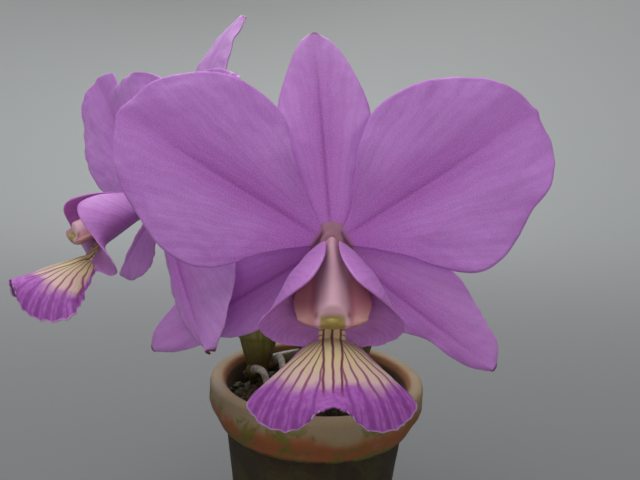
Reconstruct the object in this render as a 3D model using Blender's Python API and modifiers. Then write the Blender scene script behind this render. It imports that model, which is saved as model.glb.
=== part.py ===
"""A cattleya orchid in bloom in a terracotta pot: two flowers on one stem, pseudobulbs, leaves and roots.

The origin is the centre of the pot's foot, +Z is up and the first flower faces -Y.
Sizes are in millimetres and become metres where a mesh is made. In a flower's own frame X is to the
right as seen from the front, -Y points out of the flower and Z runs up its back sepal.
"""

import math
import random

import bmesh
import bpy
from mathutils import Euler, Matrix, Vector, noise

MM = 0.001

# Pot
POT_HEIGHT = 70.0
RIM_RADIUS = 37.5
RIM_BAND = 15.6
RIM_WALL = 5.1
STEP_RADIUS = 31.4
FOOT_RADIUS = 25.4
FLOOR_THICKNESS = 5.5
POT_SIDES = 36
DRAIN_HOLES = 3
DRAIN_RADIUS = 3.5
DRAIN_CIRCLE = 14.0

# Potting mix
MIX_EDGE = 61.0
MIX_CROWN = 8.0
MIX_GAP = 0.35
CHIP_COUNT = 38
CHIP_SEED = 7

# Touching pieces keep this much air between them.
GAP = 0.3

# Flowers
TEPAL_THICKNESS = 0.8
LIP_THICKNESS = 0.7
HUB_RADIUS = 3.2
SEPAL_DEPTH = 1.3
PETAL_DEPTH = -0.6
HUB_FRONT = -1.2
HUB_BACK = 2.4

FLOWERS = {
    "a": {"centre": (1.8, -53.9, 126.8), "yaw": 0.0, "nod": -10.0, "roll": -2.3},
    "b": {"centre": (-51.7, -18.7, 130.8), "yaw": -55.0, "nod": -19.0, "roll": 0.0},
}

# Each sepal and petal: the angle of its midrib in the flower's plane in degrees, then its outline in
# (distance out from the centre, half-width), once for the side away from the lip and once for the side
# towards it. lean, reflex and twist set how far it goes back, fold and cup shape its section, wave ripples
# its edge and size stretches its length.
TEPALS = {
    "dorsal_sepal": {
        "angle": 95.2, "back": SEPAL_DEPTH, "grid": (10, 6),
        "upper": [(3.6, 1.8), (9, 4.2), (16, 7.4), (23, 10.0), (31, 11.4), (38, 11.0), (44.5, 8.8), (50.5, 6.2),
                  (54.4, 3.8), (56.4, 0.9)],
        "lower": [(3.6, 2.2), (9, 5.6), (16, 9.0), (23, 11.6), (31, 13.2), (37.5, 12.4), (45, 9.5), (51, 6.6),
                  (54.6, 3.7), (56.4, 0.9)],
        "lean": 0.08, "reflex": 1.5, "fold": -0.6, "cup": 1.2, "wave": 0.25, "waves": 2.0,
    },
    "petal_right": {
        "angle": 33.2, "back": PETAL_DEPTH, "grid": (13, 10),
        "upper": [(3.6, 1.3), (8.5, 4.4), (15.5, 13.1), (21.4, 19.0), (27.8, 22.8), (35.5, 23.2), (42.3, 21.9),
                  (49.5, 18.8), (56.0, 14.2), (60.8, 8.0), (63.5, 0.8)],
        "lower": [(3.6, 2.2), (9.5, 6.8), (15.0, 13.2), (20.5, 20.6), (27.0, 26.0), (34.0, 26.6), (41.0, 24.3),
                  (48.0, 20.4), (55.0, 17.4), (61.0, 10.8), (63.5, 0.8)],
        "lean": 0.0, "reflex": 3.0, "fold": 1.6, "cup": 0.8, "wave": 0.8, "waves": 3.0,
    },
    "petal_left": {
        "angle": 148.7, "back": PETAL_DEPTH, "grid": (13, 10),
        "upper": [(3.6, 1.6), (9.0, 4.8), (15.5, 9.6), (21.0, 14.6), (26.5, 20.2), (32.5, 22.4), (39.0, 22.9),
                  (45.5, 22.2), (53.0, 18.2), (60.0, 11.6), (64.3, 0.8)],
        "lower": [(3.6, 2.0), (9.5, 5.6), (15.0, 11.7), (20.0, 18.6), (26.0, 22.8), (33.0, 23.8), (39.5, 22.5),
                  (46.0, 19.4), (53.0, 16.0), (59.6, 9.0), (64.3, 0.8)],
        "size": 0.985, "lean": -0.06, "reflex": 2.0, "fold": 1.6, "cup": 0.8, "wave": 0.7, "waves": 2.5,
    },
    "lateral_sepal_right": {
        "angle": -37.3, "back": SEPAL_DEPTH, "grid": (10, 6),
        "upper": [(3.6, 2.4), (9, 6.2), (15, 9.6), (21, 12.2), (27, 13.6), (33, 13.3), (39, 11.0), (45, 8.5),
                  (51, 6.1), (54.8, 1.6)],
        "lower": [(3.6, 2.6), (9, 6.6), (15, 8.8), (21, 9.0), (26, 8.2), (31, 6.0), (36, 4.4), (43, 4.3),
                  (49.5, 3.2), (54.8, 0.6)],
        "lean": 0.08, "reflex": 1.0, "fold": 0.8, "cup": 1.6, "wave": 0.25, "waves": 2.0,
    },
    "lateral_sepal_left": {
        "angle": 211.4, "back": SEPAL_DEPTH, "grid": (10, 6),
        "upper": [(3.6, 2.4), (9, 6.0), (15, 9.2), (21, 11.4), (27, 12.2), (33, 11.2), (39, 9.0), (45, 6.9),
                  (50.6, 4.6), (53.6, 1.2)],
        "lower": [(3.6, 2.6), (9, 6.4), (15, 9.0), (21, 10.2), (27, 9.9), (32, 8.5), (36.5, 6.0), (42.5, 5.6),
                  (48.5, 3.8), (53.6, 0.8)],
        "size": 1.17, "lean": 0.45, "twist": 0.25, "reflex": 1.0, "fold": 0.8, "cup": 1.6, "wave": 0.25, "waves": 2.0,
    },
}

# What differs in the second flower, which has opened wider.
SECOND = {
    "dorsal_sepal": {
        "angle": 98.0,
        "upper": [(3.6, 1.8), (9.5, 5.0), (17.5, 9.0), (26, 12.5), (35, 14.2), (43, 14.2), (50, 13.3), (57, 11.2),
                  (63.5, 7.2), (68.2, 0.9)],
        "lower": [(3.6, 2.2), (9.5, 5.6), (17.5, 8.6), (26, 10.4), (35, 10.8), (43, 9.8), (50, 8.6), (56.5, 6.0),
                  (63.0, 3.4), (68.2, 0.9)],
        "lean": 0.02, "reflex": 8.0,
    },
    "petal_right": {
        "angle": 70.0,
        "upper": [(3.6, 1.3), (8, 4.6), (13, 10.5), (18, 17.0), (23.5, 22.0), (29, 24.6), (34.5, 23.4), (39, 18.6),
                  (42, 12.0), (44.4, 6.0), (45.6, 0.8)],
        "lower": [(3.6, 2.2), (8, 5.4), (13, 10.0), (18, 14.4), (23.5, 17.6), (29, 18.6), (34, 17.4), (38.4, 14.6),
                  (41.8, 10.6), (44.3, 6.0), (45.6, 0.8)],
        "lean": 0.02,
    },
    "petal_left": {
        "upper": [(3.6, 1.6), (9, 5.6), (15, 13.0), (20.5, 20.5), (27, 26.0), (34, 24.6), (41.5, 20.4), (48.0, 14.0),
                  (52.5, 7.8), (59.5, 8.8), (68.5, 0.8)],
        "lower": [(3.6, 2.0), (9.5, 5.6), (15, 11.0), (21, 16.6), (29, 20.2), (36.5, 20.4), (44.5, 19.2), (53.0, 17.3),
                  (61, 14.4), (67.4, 8.8), (68.5, 0.8)],
        "size": 1.0, "lean": -0.24,
    },
    "lateral_sepal_right": {
        "angle": -39.0,
        "upper": [(3.6, 2.4), (9, 6.2), (15, 10.6), (21, 14.8), (28, 18.0), (35.4, 18.6), (41.5, 16.0), (46.5, 11.8),
                  (50.4, 6.8), (53.2, 0.9)],
        "lower": [(3.6, 2.6), (9, 3.8), (15, 4.6), (21.5, 5.7), (28.6, 6.3), (36.5, 5.8), (43.4, 4.4), (48.0, 2.8),
                  (51.2, 1.4), (53.2, 0.6)],
        "lean": 0.14, "twist": 0.15,
    },
    "lateral_sepal_left": {
        "angle": 215.0,
        "upper": [(3.6, 2.4), (9, 2.8), (15, 2.8), (20, 2.7), (26, 2.9), (32, 3.0), (38, 2.8), (43.5, 2.2),
                  (48.5, 1.4), (52.3, 0.6)],
        "lower": [(3.6, 2.6), (9, 4.6), (15, 6.2), (21, 7.2), (27.3, 8.0), (33, 8.0), (38.5, 7.0), (43.8, 5.4),
                  (48.5, 3.4), (52.3, 0.8)],
        "size": 1.0, "lean": 0.2, "twist": -0.5,
    },
}

# The lip's right half, row by row from its base to the notch between its front lobes. Each row is an arc
# from the midline, past a guide point, to the margin: (x, forward, up) from the flower's centre.
LIP_ROWS = [
    ((0, 1.0, -3.9), (8.0, 1.8, -2.5), (1.8, 3.2, 0.6)),
    ((0, 4.5, -7.3), (12.5, 6.5, -4.4), (1.6, 8.6, -0.2)),
    ((0, 7.2, -11.0), (16.0, 9.5, -6.4), (1.7, 14.4, -1.8)),
    ((0, 9.2, -13.8), (19.0, 12.2, -8.0), (2.5, 19.4, -4.0)),
    ((0, 10.8, -15.9), (20.0, 14.0, -10.4), (5.0, 23.8, -7.6)),
    ((0, 12.1, -17.5), (19.2, 14.5, -13.2), (9.2, 23.4, -11.0)),
    ((0, 13.2, -18.8), (16.8, 14.5, -16.2), (13.6, 19.4, -14.8)),
    ((0, 14.1, -19.8), (13.5, 13.5, -19.2), (17.0, 15.0, -18.4)),
    ((0, 14.8, -20.6), (9.8, 12.6, -21.2), (15.8, 11.4, -21.9)),
    ((0, 15.4, -21.2), (6.4, 13.2, -22.0), (11.2, 11.2, -24.0)),
    ((0, 15.9, -21.7), (3.6, 14.6, -22.6), (7.0, 13.4, -24.2)),
    ((0, 16.8, -22.5), (4.8, 16.8, -23.2), (8.4, 14.6, -25.9)),
    ((0, 18.6, -24.0), (8.4, 19.4, -25.0), (12.6, 16.5, -29.9)),
    ((0, 20.6, -25.5), (10.6, 21.8, -26.6), (16.3, 18.0, -33.0)),
    ((0, 23.0, -27.2), (11.6, 24.6, -28.4), (19.0, 20.0, -36.1)),
    ((0, 25.4, -28.9), (10.4, 27.2, -30.0), (16.6, 23.0, -38.7)),
    ((0, 27.7, -30.3), (8.6, 29.4, -31.4), (13.3, 26.0, -39.8)),
    ((0, 29.7, -31.4), (6.2, 31.2, -32.6), (9.0, 29.0, -39.4)),
    ((0, 31.3, -32.2), (3.8, 32.4, -33.2), (5.4, 31.0, -37.2)),
    ((0, 32.4, -32.8), (2.2, 33.0, -33.4), (3.5, 32.5, -34.6)),
    ((0, 33.0, -33.1), (0.9, 33.2, -33.3), (1.6, 33.0, -33.7)),
]
LIP_GRID = (26, 12)

# Column: its axis in the plane of symmetry, (forward, up) from the flower's centre.
COLUMN_BASE = (0.2, 0.4)
COLUMN_TIP = (21.0, -18.6)
COLUMN_HALF_WIDTH = 9.0
COLUMN_RIDGE = 3.6

# Flower stem: it rises from the rhizome and forks into the two flowers' stalks.
STEM_FOOT = (5.0, 3.0)
STEM_FORK = (-4.0, -6.0, 106.0)
STEM_RADIUS = 2.0
OVARY_RADIUS = 2.5

# Pseudobulbs: foot, top and greatest radius. The first two carry a pair of leaves each.
PSEUDOBULBS = [
    ((-21.0, 5.5), (-23.5, 11.0, 104.0), 6.6),
    ((-3.0, 14.0), (-1.0, 18.0, 108.0), 6.4),
    ((13.0, 12.0), (16.0, 16.0, 96.0), 5.6),
]
BULB_FOOT_RADIUS = 4.2
BULB_SINK = 4.5
RHIZOME_RADIUS = 2.6
RHIZOME_LIFT = 3.6

# Leaves: the pseudobulb they stand on, compass bearing of the blade, rise from level, length, half-width.
LEAVES = [
    (0, 172.0, 62.0, 56.0, 13.5),
    (0, -16.0, 76.0, 54.0, 13.0),
    (1, 106.0, 60.0, 56.0, 13.5),
    (1, -30.0, 58.0, 60.0, 14.0),
]
LEAF_THICKNESS = 1.6
LEAF_SEAT = 0.05

# Roots over the mix: each is the points of its line, (x, y, height above the mix).
ROOTS = [
    [(-15.5, 8.5, 3.6), (-14.0, 2.5, 6.5), (-12.5, -3.5, 7.0), (-11.6, -8.5, 5.0), (-11.3, -11.0, 1.0), (-11.3, -11.2, -3.5)],
    [(-22.5, 1.5, 3.6), (-21.5, -4.0, 6.5), (-18.5, -9.0, 7.0), (-16.8, -12.5, 5.0), (-16.3, -13.8, 1.0), (-16.3, -14.0, -3.5)],
    [(8.0, 8.5, 3.6), (12.5, 3.5, 6.5), (15.5, -2.5, 7.0), (16.8, -7.0, 5.0), (17.2, -8.8, 1.0), (17.2, -9.0, -3.5)],
]
ROOT_RADIUS = 1.2

COLOURS = {
    "terracotta": ((0.46, 0.22, 0.10), 0.9),
    "bark": ((0.10, 0.065, 0.035), 0.95),
    "pseudobulb": ((0.20, 0.22, 0.05), 0.5),
    "root": ((0.52, 0.50, 0.44), 0.8),
    "leaf": ((0.08, 0.17, 0.04), 0.4),
    "stem": ((0.30, 0.34, 0.12), 0.5),
    "tepal": ((0.60, 0.27, 0.66), 0.6),
    "lip": ((0.52, 0.20, 0.60), 0.6),
    "column": ((0.68, 0.42, 0.52), 0.45),
}


def clear_scene():
    for obj in list(bpy.data.objects):
        bpy.data.objects.remove(obj)


def make_collection(name, helper=False):
    made = bpy.data.collections.new(name)
    made.hide_render = helper
    bpy.context.scene.collection.children.link(made)
    return made


def make_material(name):
    colour, roughness = COLOURS[name]
    made = bpy.data.materials.new(name)
    made.use_nodes = True
    shader = made.node_tree.nodes["Principled BSDF"]
    shader.inputs["Base Color"].default_value = (*colour, 1.0)
    shader.inputs["Roughness"].default_value = roughness
    shader.inputs["Metallic"].default_value = 0.0
    return made


def add_object(name, mesh, material, collection, parent=None):
    obj = bpy.data.objects.new(name, mesh)
    collection.objects.link(obj)
    mesh.materials.clear()
    mesh.materials.append(material)
    obj.parent = parent
    return obj


def smooth_step(x):
    x = min(1.0, max(0.0, x))
    return x * x * (3.0 - 2.0 * x)


def spline_point(points, share):
    """A point on the smooth curve through the points, at this share of the way along them."""
    place = min(max(share, 0.0), 1.0) * (len(points) - 1)
    index = min(int(place), len(points) - 2)
    local = place - index
    p1, p2 = Vector(points[index]), Vector(points[index + 1])
    p0 = Vector(points[index - 1]) if index else 2 * p1 - p2
    p3 = Vector(points[index + 2]) if index + 2 < len(points) else 2 * p2 - p1
    return 0.5 * (
        2 * p1
        + (p2 - p0) * local
        + (2 * p0 - 5 * p1 + 4 * p2 - p3) * local**2
        + (3 * p1 - p0 - 3 * p2 + p3) * local**3
    )


def sheet(name, shape, grid, thickness, material, collection, parent=None):
    """A thin blade: a grid shaped by a rule of (along 0 to 1, across -1 to 1), then given its thickness."""
    bm = bmesh.new()
    bmesh.ops.create_grid(bm, x_segments=grid[0], y_segments=grid[1], size=1.0)
    for vert in bm.verts:
        vert.co = shape((vert.co.x + 1) / 2, vert.co.y) * MM
    bmesh.ops.triangulate(bm, faces=bm.faces)
    mesh = bpy.data.meshes.new(name)
    bm.to_mesh(mesh)
    bm.free()
    mesh.shade_smooth()
    obj = add_object(name, mesh, material, collection, parent)
    solid = obj.modifiers.new("thickness", "SOLIDIFY")
    solid.thickness = thickness * MM
    solid.offset = 0.0
    return obj


def rounded_body(name, shape, segments, rings):
    """A closed rounded mesh: a sphere shaped by a rule of (along 0 to 1, angle round)."""
    bm = bmesh.new()
    bmesh.ops.create_uvsphere(bm, u_segments=segments, v_segments=rings, radius=1.0)
    for vert in bm.verts:
        along = (1 - vert.co.z) / 2
        ring = math.hypot(vert.co.x, vert.co.y)
        vert.co = shape(along, math.atan2(vert.co.y, vert.co.x), ring) * MM
    bmesh.ops.recalc_face_normals(bm, faces=bm.faces)
    mesh = bpy.data.meshes.new(name)
    bm.to_mesh(mesh)
    bm.free()
    return mesh


def tube_mesh(name, points, radii, sides=8):
    """A closed round tube along the points, in millimetres, with a radius at each."""
    curve = bpy.data.curves.new(name, "CURVE")
    curve.dimensions = "3D"
    curve.bevel_depth = MM
    curve.bevel_resolution = sides // 4
    curve.use_fill_caps = True
    spline = curve.splines.new("POLY")
    spline.points.add(len(points) - 1)
    for point, place, radius in zip(spline.points, points, radii):
        point.co = (*(Vector(place) * MM), 1.0)
        point.radius = radius
    guide = bpy.data.objects.new(name, curve)
    bpy.context.scene.collection.objects.link(guide)
    graph = bpy.context.evaluated_depsgraph_get()
    mesh = bpy.data.meshes.new_from_object(guide.evaluated_get(graph))
    bpy.data.objects.remove(guide)
    bm = bmesh.new()
    bm.from_mesh(mesh)
    bmesh.ops.remove_doubles(bm, verts=bm.verts, dist=0.01 * MM)
    bmesh.ops.recalc_face_normals(bm, faces=bm.faces)
    bm.to_mesh(mesh)
    bm.free()
    return mesh


def joined(name, meshes, material, collection, parent=None, cutters=()):
    """One solid: the first mesh with the others joined to it and the cutters cut from it."""
    obj = add_object(name, meshes[0], material, collection)
    groups = [("UNION", meshes[1:]), ("DIFFERENCE", list(cutters))]
    for operation, others in groups:
        if not others:
            continue
        helpers = bpy.data.collections.new("helpers")
        bpy.context.scene.collection.children.link(helpers)
        for i, other in enumerate(others):
            helpers.objects.link(bpy.data.objects.new(f"{name}_helper_{i}", other))
        join = obj.modifiers.new(operation.lower(), "BOOLEAN")
        join.operation = operation
        join.operand_type = "COLLECTION"
        join.collection = helpers
        join.solver = "EXACT"
        join.use_self = operation == "UNION"
        with bpy.context.temp_override(object=obj, active_object=obj, selected_objects=[obj]):
            bpy.ops.object.modifier_apply(modifier=join.name)
        for helper in list(helpers.objects):
            bpy.data.objects.remove(helper)
        bpy.data.collections.remove(helpers)
    obj.parent = parent
    obj.data.shade_smooth()
    return obj


def tepal_shape(name, spec):
    """The rule that shapes one sepal or petal, in the flower's frame."""
    angle = math.radians(spec["angle"])
    outward = Vector((math.cos(angle), 0, math.sin(angle)))
    # The side away from the lip is counter-clockwise of the midrib on the right and clockwise on the left.
    turn = -1.0 if name.endswith("left") else 1.0
    sideways = Vector((-math.sin(angle), 0, math.cos(angle))) * turn
    size = spec.get("size", 1.0)
    first = spec["upper"][0][0]
    upper = [Vector((first + (out - first) * size, half, 0)) for out, half in spec["upper"]]
    lower = [Vector((first + (out - first) * size, -half, 0)) for out, half in spec["lower"]]
    last = upper[-1].x

    def shape(along, across):
        edge = spline_point(upper if across >= 0 else lower, along)
        middle = Vector((first + (last - first) * along, 0, 0))
        out, aside, _ = middle.lerp(edge, abs(across))
        grown = smooth_step(along / 0.3)
        back = spec["back"] + spec["lean"] * (out - first) + spec["reflex"] * along**3
        back -= spec["fold"] * grown * (1 - math.exp(-((aside / 7.0) ** 2)))
        back += spec.get("twist", 0.0) * grown * aside
        back += spec["cup"] * grown * abs(across) ** 2.5
        ripple = math.sin(math.tau * spec["waves"] * along + (0.8 if across > 0 else 2.4))
        back += spec["wave"] * grown * abs(across) ** 3 * ripple
        return outward * out + sideways * aside + Vector((0, back, 0))

    return shape


def lip_shape():
    """The rule that shapes the lip: rows of arcs from its midline to its margin."""
    rows = [[Vector((x, -forward, up)) for x, forward, up in row] for row in LIP_ROWS]
    middle, guide, margin = ([row[i] for row in rows] for i in range(3))

    def shape(along, across):
        out = abs(across)
        start, past, end = (spline_point(line, along) for line in (middle, guide, margin))
        place = start * (1 - out) ** 2 + past * 2 * out * (1 - out) + end * out**2
        if across < 0:
            place.x = -place.x
        return place

    return shape


def column_mesh(name):
    """The column: a hooded club with a rounded ridge down its front, wide wings and a blunt tip."""
    base = Vector((0, -COLUMN_BASE[0], COLUMN_BASE[1]))
    tip = Vector((0, -COLUMN_TIP[0], COLUMN_TIP[1]))
    axis = (tip - base).normalized()
    front = Vector((1, 0, 0)).cross(axis)
    if front.y > 0:
        front = -front

    def shape(along, angle, ring):
        end = min(1.0, ring * 2.0) ** 0.5
        half = (2.0 + (COLUMN_HALF_WIDTH - 2.0) * smooth_step(along / 0.9)) * end
        x = half * math.cos(angle)
        ridge = COLUMN_RIDGE * (0.5 + 0.5 * smooth_step(along / 0.5)) * math.exp(-((x / 3.4) ** 2))
        if math.sin(angle) > 0:
            rise = (0.9 + ridge) * math.sin(angle) ** 0.6 * end
        else:
            rise = -1.5 * abs(math.sin(angle)) ** 0.8 * end
        wrap = -1.6 * (x / COLUMN_HALF_WIDTH) ** 2 * smooth_step(along)
        return base.lerp(tip, along) + Vector((x, 0, 0)) + front * (rise - wrap)

    return rounded_body(name, shape, 22, 11)


def hub_mesh(name):
    """The drum at the flower's centre that the sepals, petals and lip grow from."""
    bm = bmesh.new()
    turned = Matrix.Rotation(math.radians(90), 4, "X")
    middle = Matrix.Translation(Vector((0, (HUB_FRONT + HUB_BACK) / 2, 0)) * MM)
    bmesh.ops.create_cone(
        bm, cap_ends=True, segments=20, radius1=HUB_RADIUS * MM, radius2=HUB_RADIUS * MM,
        depth=(HUB_BACK - HUB_FRONT) * MM, matrix=middle @ turned,
    )
    mesh = bpy.data.meshes.new(name)
    bm.to_mesh(mesh)
    bm.free()
    return mesh


def flower_frame(letter):
    spec = FLOWERS[letter]
    turn = Matrix.Rotation(math.radians(spec["yaw"]), 4, "Z")
    turn = turn @ Matrix.Rotation(math.radians(spec["nod"]), 4, "X")
    turn = turn @ Matrix.Rotation(math.radians(spec["roll"]), 4, "Y")
    return Matrix.Translation(Vector(spec["centre"])) @ turn


def make_flower(letter, materials, collection):
    frame = flower_frame(letter)
    holder = bpy.data.objects.new(f"flower_{letter}", None)
    collection.objects.link(holder)
    holder.location = frame.to_translation() * MM
    holder.rotation_euler = frame.to_euler()
    for name, spec in TEPALS.items():
        if letter == "b":
            spec = {**spec, **SECOND.get(name, {})}
        sheet(
            f"{name}_{letter}", tepal_shape(name, spec), spec["grid"], TEPAL_THICKNESS,
            materials["tepal"], collection, holder,
        )
    sheet(f"lip_{letter}", lip_shape(), LIP_GRID, LIP_THICKNESS, materials["lip"], collection, holder)
    name = f"column_{letter}"
    joined(name, [column_mesh(name), hub_mesh(name + "_hub")], materials["column"], collection, holder)


def make_stem(materials, collection):
    """The flower stem with its fork and the ovary behind each flower."""
    x, y = STEM_FOOT
    foot = Vector((x, y, mix_height(x, y) + RHIZOME_LIFT + RHIZOME_RADIUS + 3 * GAP))
    fork = Vector(STEM_FORK)
    rise = [foot, foot.lerp(fork, 0.35) + Vector((1.5, 1.0, 0)), foot.lerp(fork, 0.7) + Vector((1.0, 1.0, 0)), fork]
    trunk = [spline_point(rise, i / 10) for i in range(11)]
    meshes = [tube_mesh("trunk", trunk, [STEM_RADIUS * (1.15 - 0.02 * i) for i in range(11)])]
    for letter in FLOWERS:
        frame = flower_frame(letter)
        seat = frame @ Vector((0, HUB_BACK + GAP, 0))
        behind = frame @ Vector((0, HUB_BACK + GAP + 14.0, 0))
        inner = fork.lerp(behind, 0.45) + Vector((0, 0, 3.0))
        line = [fork - Vector((0, 0, 1.5)), inner, behind, seat]
        points = [spline_point(line, i / 16) for i in range(17)]
        radii = [STEM_RADIUS * 0.85 + (OVARY_RADIUS - STEM_RADIUS * 0.85) * smooth_step(i / 16) for i in range(17)]
        meshes.append(tube_mesh("stalk_" + letter, points, radii))
    joined("flower_stem", meshes, materials["stem"], collection)


def bulb_line(index):
    (x, y), top, _ = PSEUDOBULBS[index]
    return Vector((x, y, mix_height(x, y) - BULB_SINK)), Vector(top)


def pseudobulb_mesh(index):
    """A spindle with shallow ribs, narrow at its foot and at the leaf joint."""
    foot, top = bulb_line(index)
    radius = PSEUDOBULBS[index][2]
    axis = (top - foot).normalized()
    across = axis.orthogonal().normalized()
    other = axis.cross(across)

    def shape(along, angle, ring):
        swell = math.sin(math.pi * smooth_step(along * 0.94 + 0.03)) ** 1.2
        girth = BULB_FOOT_RADIUS * 0.8 + (radius - BULB_FOOT_RADIUS * 0.8) * swell
        rib = 1 + 0.05 * math.cos(9 * angle) * swell
        reach = girth * rib * min(1.0, ring * 1.8) ** 0.5
        middle = foot.lerp(top, along)
        return middle + (across * math.cos(angle) + other * math.sin(angle)) * reach

    return rounded_body(f"bulb_{index}", shape, 16, 10)


def rhizome_line(count):
    """The rhizome's course over the mix, past every pseudobulb to the foot of the flower stem."""
    line = [Vector((x, y, 0)) for (x, y), _, _ in PSEUDOBULBS]
    line.insert(0, line[0] + Vector((-2.0, -6.0, 0)))
    line.append(Vector((STEM_FOOT[0], STEM_FOOT[1], 0)))
    line.append(line[-1] + Vector((-2.0, -6.0, 0)))
    return [spline_point(line, i / count) for i in range(count + 1)]


def make_plant(materials, collection):
    """The rhizome with its pseudobulbs, one solid as it grew."""
    points = [Vector((x, y, mix_height(x, y) + RHIZOME_LIFT)) for x, y, _ in rhizome_line(18)]
    meshes = [tube_mesh("rhizome", points, [RHIZOME_RADIUS] * 19)]
    meshes += [pseudobulb_mesh(i) for i in range(len(PSEUDOBULBS))]
    for i, root in enumerate(ROOTS):
        path = [Vector((x, y, mix_height(x, y) + lift)) for x, y, lift in root]
        points = [spline_point(path, j / 12) for j in range(13)]
        radii = [ROOT_RADIUS * (1.0 - 0.03 * j) for j in range(13)]
        meshes.append(tube_mesh(f"root_{i}", points, radii, sides=8))
    joined("rhizome_and_pseudobulbs", meshes, materials["pseudobulb"], collection)


def leaf_shape(index):
    """A thick leathery blade, folded along its midrib, arching away from the pseudobulb's top."""
    bulb, bearing, rise, length, half = LEAVES[index]
    top = Vector(PSEUDOBULBS[bulb][1])
    heading = math.radians(bearing)
    level = Vector((math.cos(heading), math.sin(heading), 0))
    sideways = Vector((-math.sin(heading), math.cos(heading), 0))

    def shape(along, across):
        share = (1 - math.cos(math.pi * along)) / 2
        swell = math.sin(math.pi * share)
        spread = math.hypot(half * swell, 1.6 - 0.8 * share) * across
        pitch = math.radians(rise - 26.0 * share)
        upper = Vector((0, 0, math.cos(pitch))) - level * math.sin(pitch)
        start = top + level * 1.6 + Vector((0, 0, LEAF_SEAT))
        mean = math.radians(rise - 13.0 * share)
        run = level * math.cos(mean) + Vector((0, 0, math.sin(mean)))
        keel = 0.34 * abs(spread) * (1 - 0.55 * share)
        return start + run * (length * share) + sideways * (spread * 0.94) + upper * keel

    return shape


def make_leaves(materials, collection):
    for i in range(len(LEAVES)):
        sheet(f"leaf_{i + 1}", leaf_shape(i), (10, 6), LEAF_THICKNESS, materials["leaf"], collection)


def turned_mesh(name, profile, sides):
    """A solid of revolution from its profile of (radius, height), from the axis to the axis."""
    bm = bmesh.new()
    verts = [bm.verts.new((radius * MM, 0, height * MM)) for radius, height in profile]
    for first, second in zip(verts, verts[1:]):
        bm.edges.new((first, second))
    bmesh.ops.spin(
        bm, geom=bm.verts[:] + bm.edges[:], axis=(0, 0, 1), cent=(0, 0, 0),
        steps=sides, angle=2 * math.pi, use_merge=False, use_duplicate=False,
    )
    bmesh.ops.remove_doubles(bm, verts=bm.verts, dist=0.01 * MM)
    bmesh.ops.recalc_face_normals(bm, faces=bm.faces)
    mesh = bpy.data.meshes.new(name)
    bm.to_mesh(mesh)
    bm.free()
    return mesh


def wall_radius(height):
    """The radius of the pot's inner wall at this height: it widens faster inside the rim's band."""
    low, middle, high = FOOT_RADIUS - 3.8, STEP_RADIUS - 3.2, RIM_RADIUS - RIM_WALL - 0.4
    knee = POT_HEIGHT - RIM_BAND
    if height < knee:
        return low + (middle - low) * (height - FLOOR_THICKNESS) / (knee - FLOOR_THICKNESS)
    return middle + (high - middle) * (height - knee) / (POT_HEIGHT - 3.0 - knee)


def make_pot(materials, collection):
    band = POT_HEIGHT - RIM_BAND
    profile = [
        (0, 0), (FOOT_RADIUS - 1.0, 0), (FOOT_RADIUS, 1.0), (STEP_RADIUS, band),
        (STEP_RADIUS + 1.6, band - 0.4), (STEP_RADIUS + 2.6, band + 0.6), (RIM_RADIUS - 0.9, band + 5.6),
        (RIM_RADIUS, band + 7.6), (RIM_RADIUS, POT_HEIGHT - 1.6), (RIM_RADIUS - 1.2, POT_HEIGHT - 0.2),
        (RIM_RADIUS - RIM_WALL + 1.2, POT_HEIGHT), (RIM_RADIUS - RIM_WALL, POT_HEIGHT - 1.0),
        (wall_radius(POT_HEIGHT - 3.0), POT_HEIGHT - 3.0), (wall_radius(band), band),
        (wall_radius(FLOOR_THICKNESS + 2.0), FLOOR_THICKNESS + 2.0),
        (wall_radius(FLOOR_THICKNESS) - 2.0, FLOOR_THICKNESS), (0, FLOOR_THICKNESS),
    ]
    cutters = []
    for i in range(DRAIN_HOLES):
        angle = 2 * math.pi * i / DRAIN_HOLES + math.pi / 6
        place = Vector((math.cos(angle), math.sin(angle), 0)) * DRAIN_CIRCLE
        bm = bmesh.new()
        bmesh.ops.create_cone(
            bm, cap_ends=True, segments=16, radius1=DRAIN_RADIUS * MM, radius2=DRAIN_RADIUS * MM,
            depth=4 * FLOOR_THICKNESS * MM, matrix=Matrix.Translation(place * MM),
        )
        mesh = bpy.data.meshes.new(f"drain_{i}")
        bm.to_mesh(mesh)
        bm.free()
        cutters.append(mesh)
    pot = joined("pot", [turned_mesh("pot", profile, POT_SIDES)], materials["terracotta"], collection, cutters=cutters)
    pot.data.set_sharp_from_angle(angle=math.radians(35))


def mix_height(x, y):
    """The height of the mix here: it is heaped towards the middle of the pot."""
    share = min(1.0, math.hypot(x, y) / wall_radius(MIX_EDGE))
    return MIX_EDGE + MIX_CROWN * (1 - share**3)


def stood_in():
    """The points (x, y, radius) that the plant needs clear on the mix."""
    taken = [(x, y, BULB_FOOT_RADIUS + 3.4) for (x, y), _, _ in PSEUDOBULBS]
    taken += [(root[-1][0], root[-1][1], ROOT_RADIUS + 2.4) for root in ROOTS]
    taken += [(x, y, RHIZOME_RADIUS + 3.0) for x, y, _ in rhizome_line(16)]
    return taken


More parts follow.
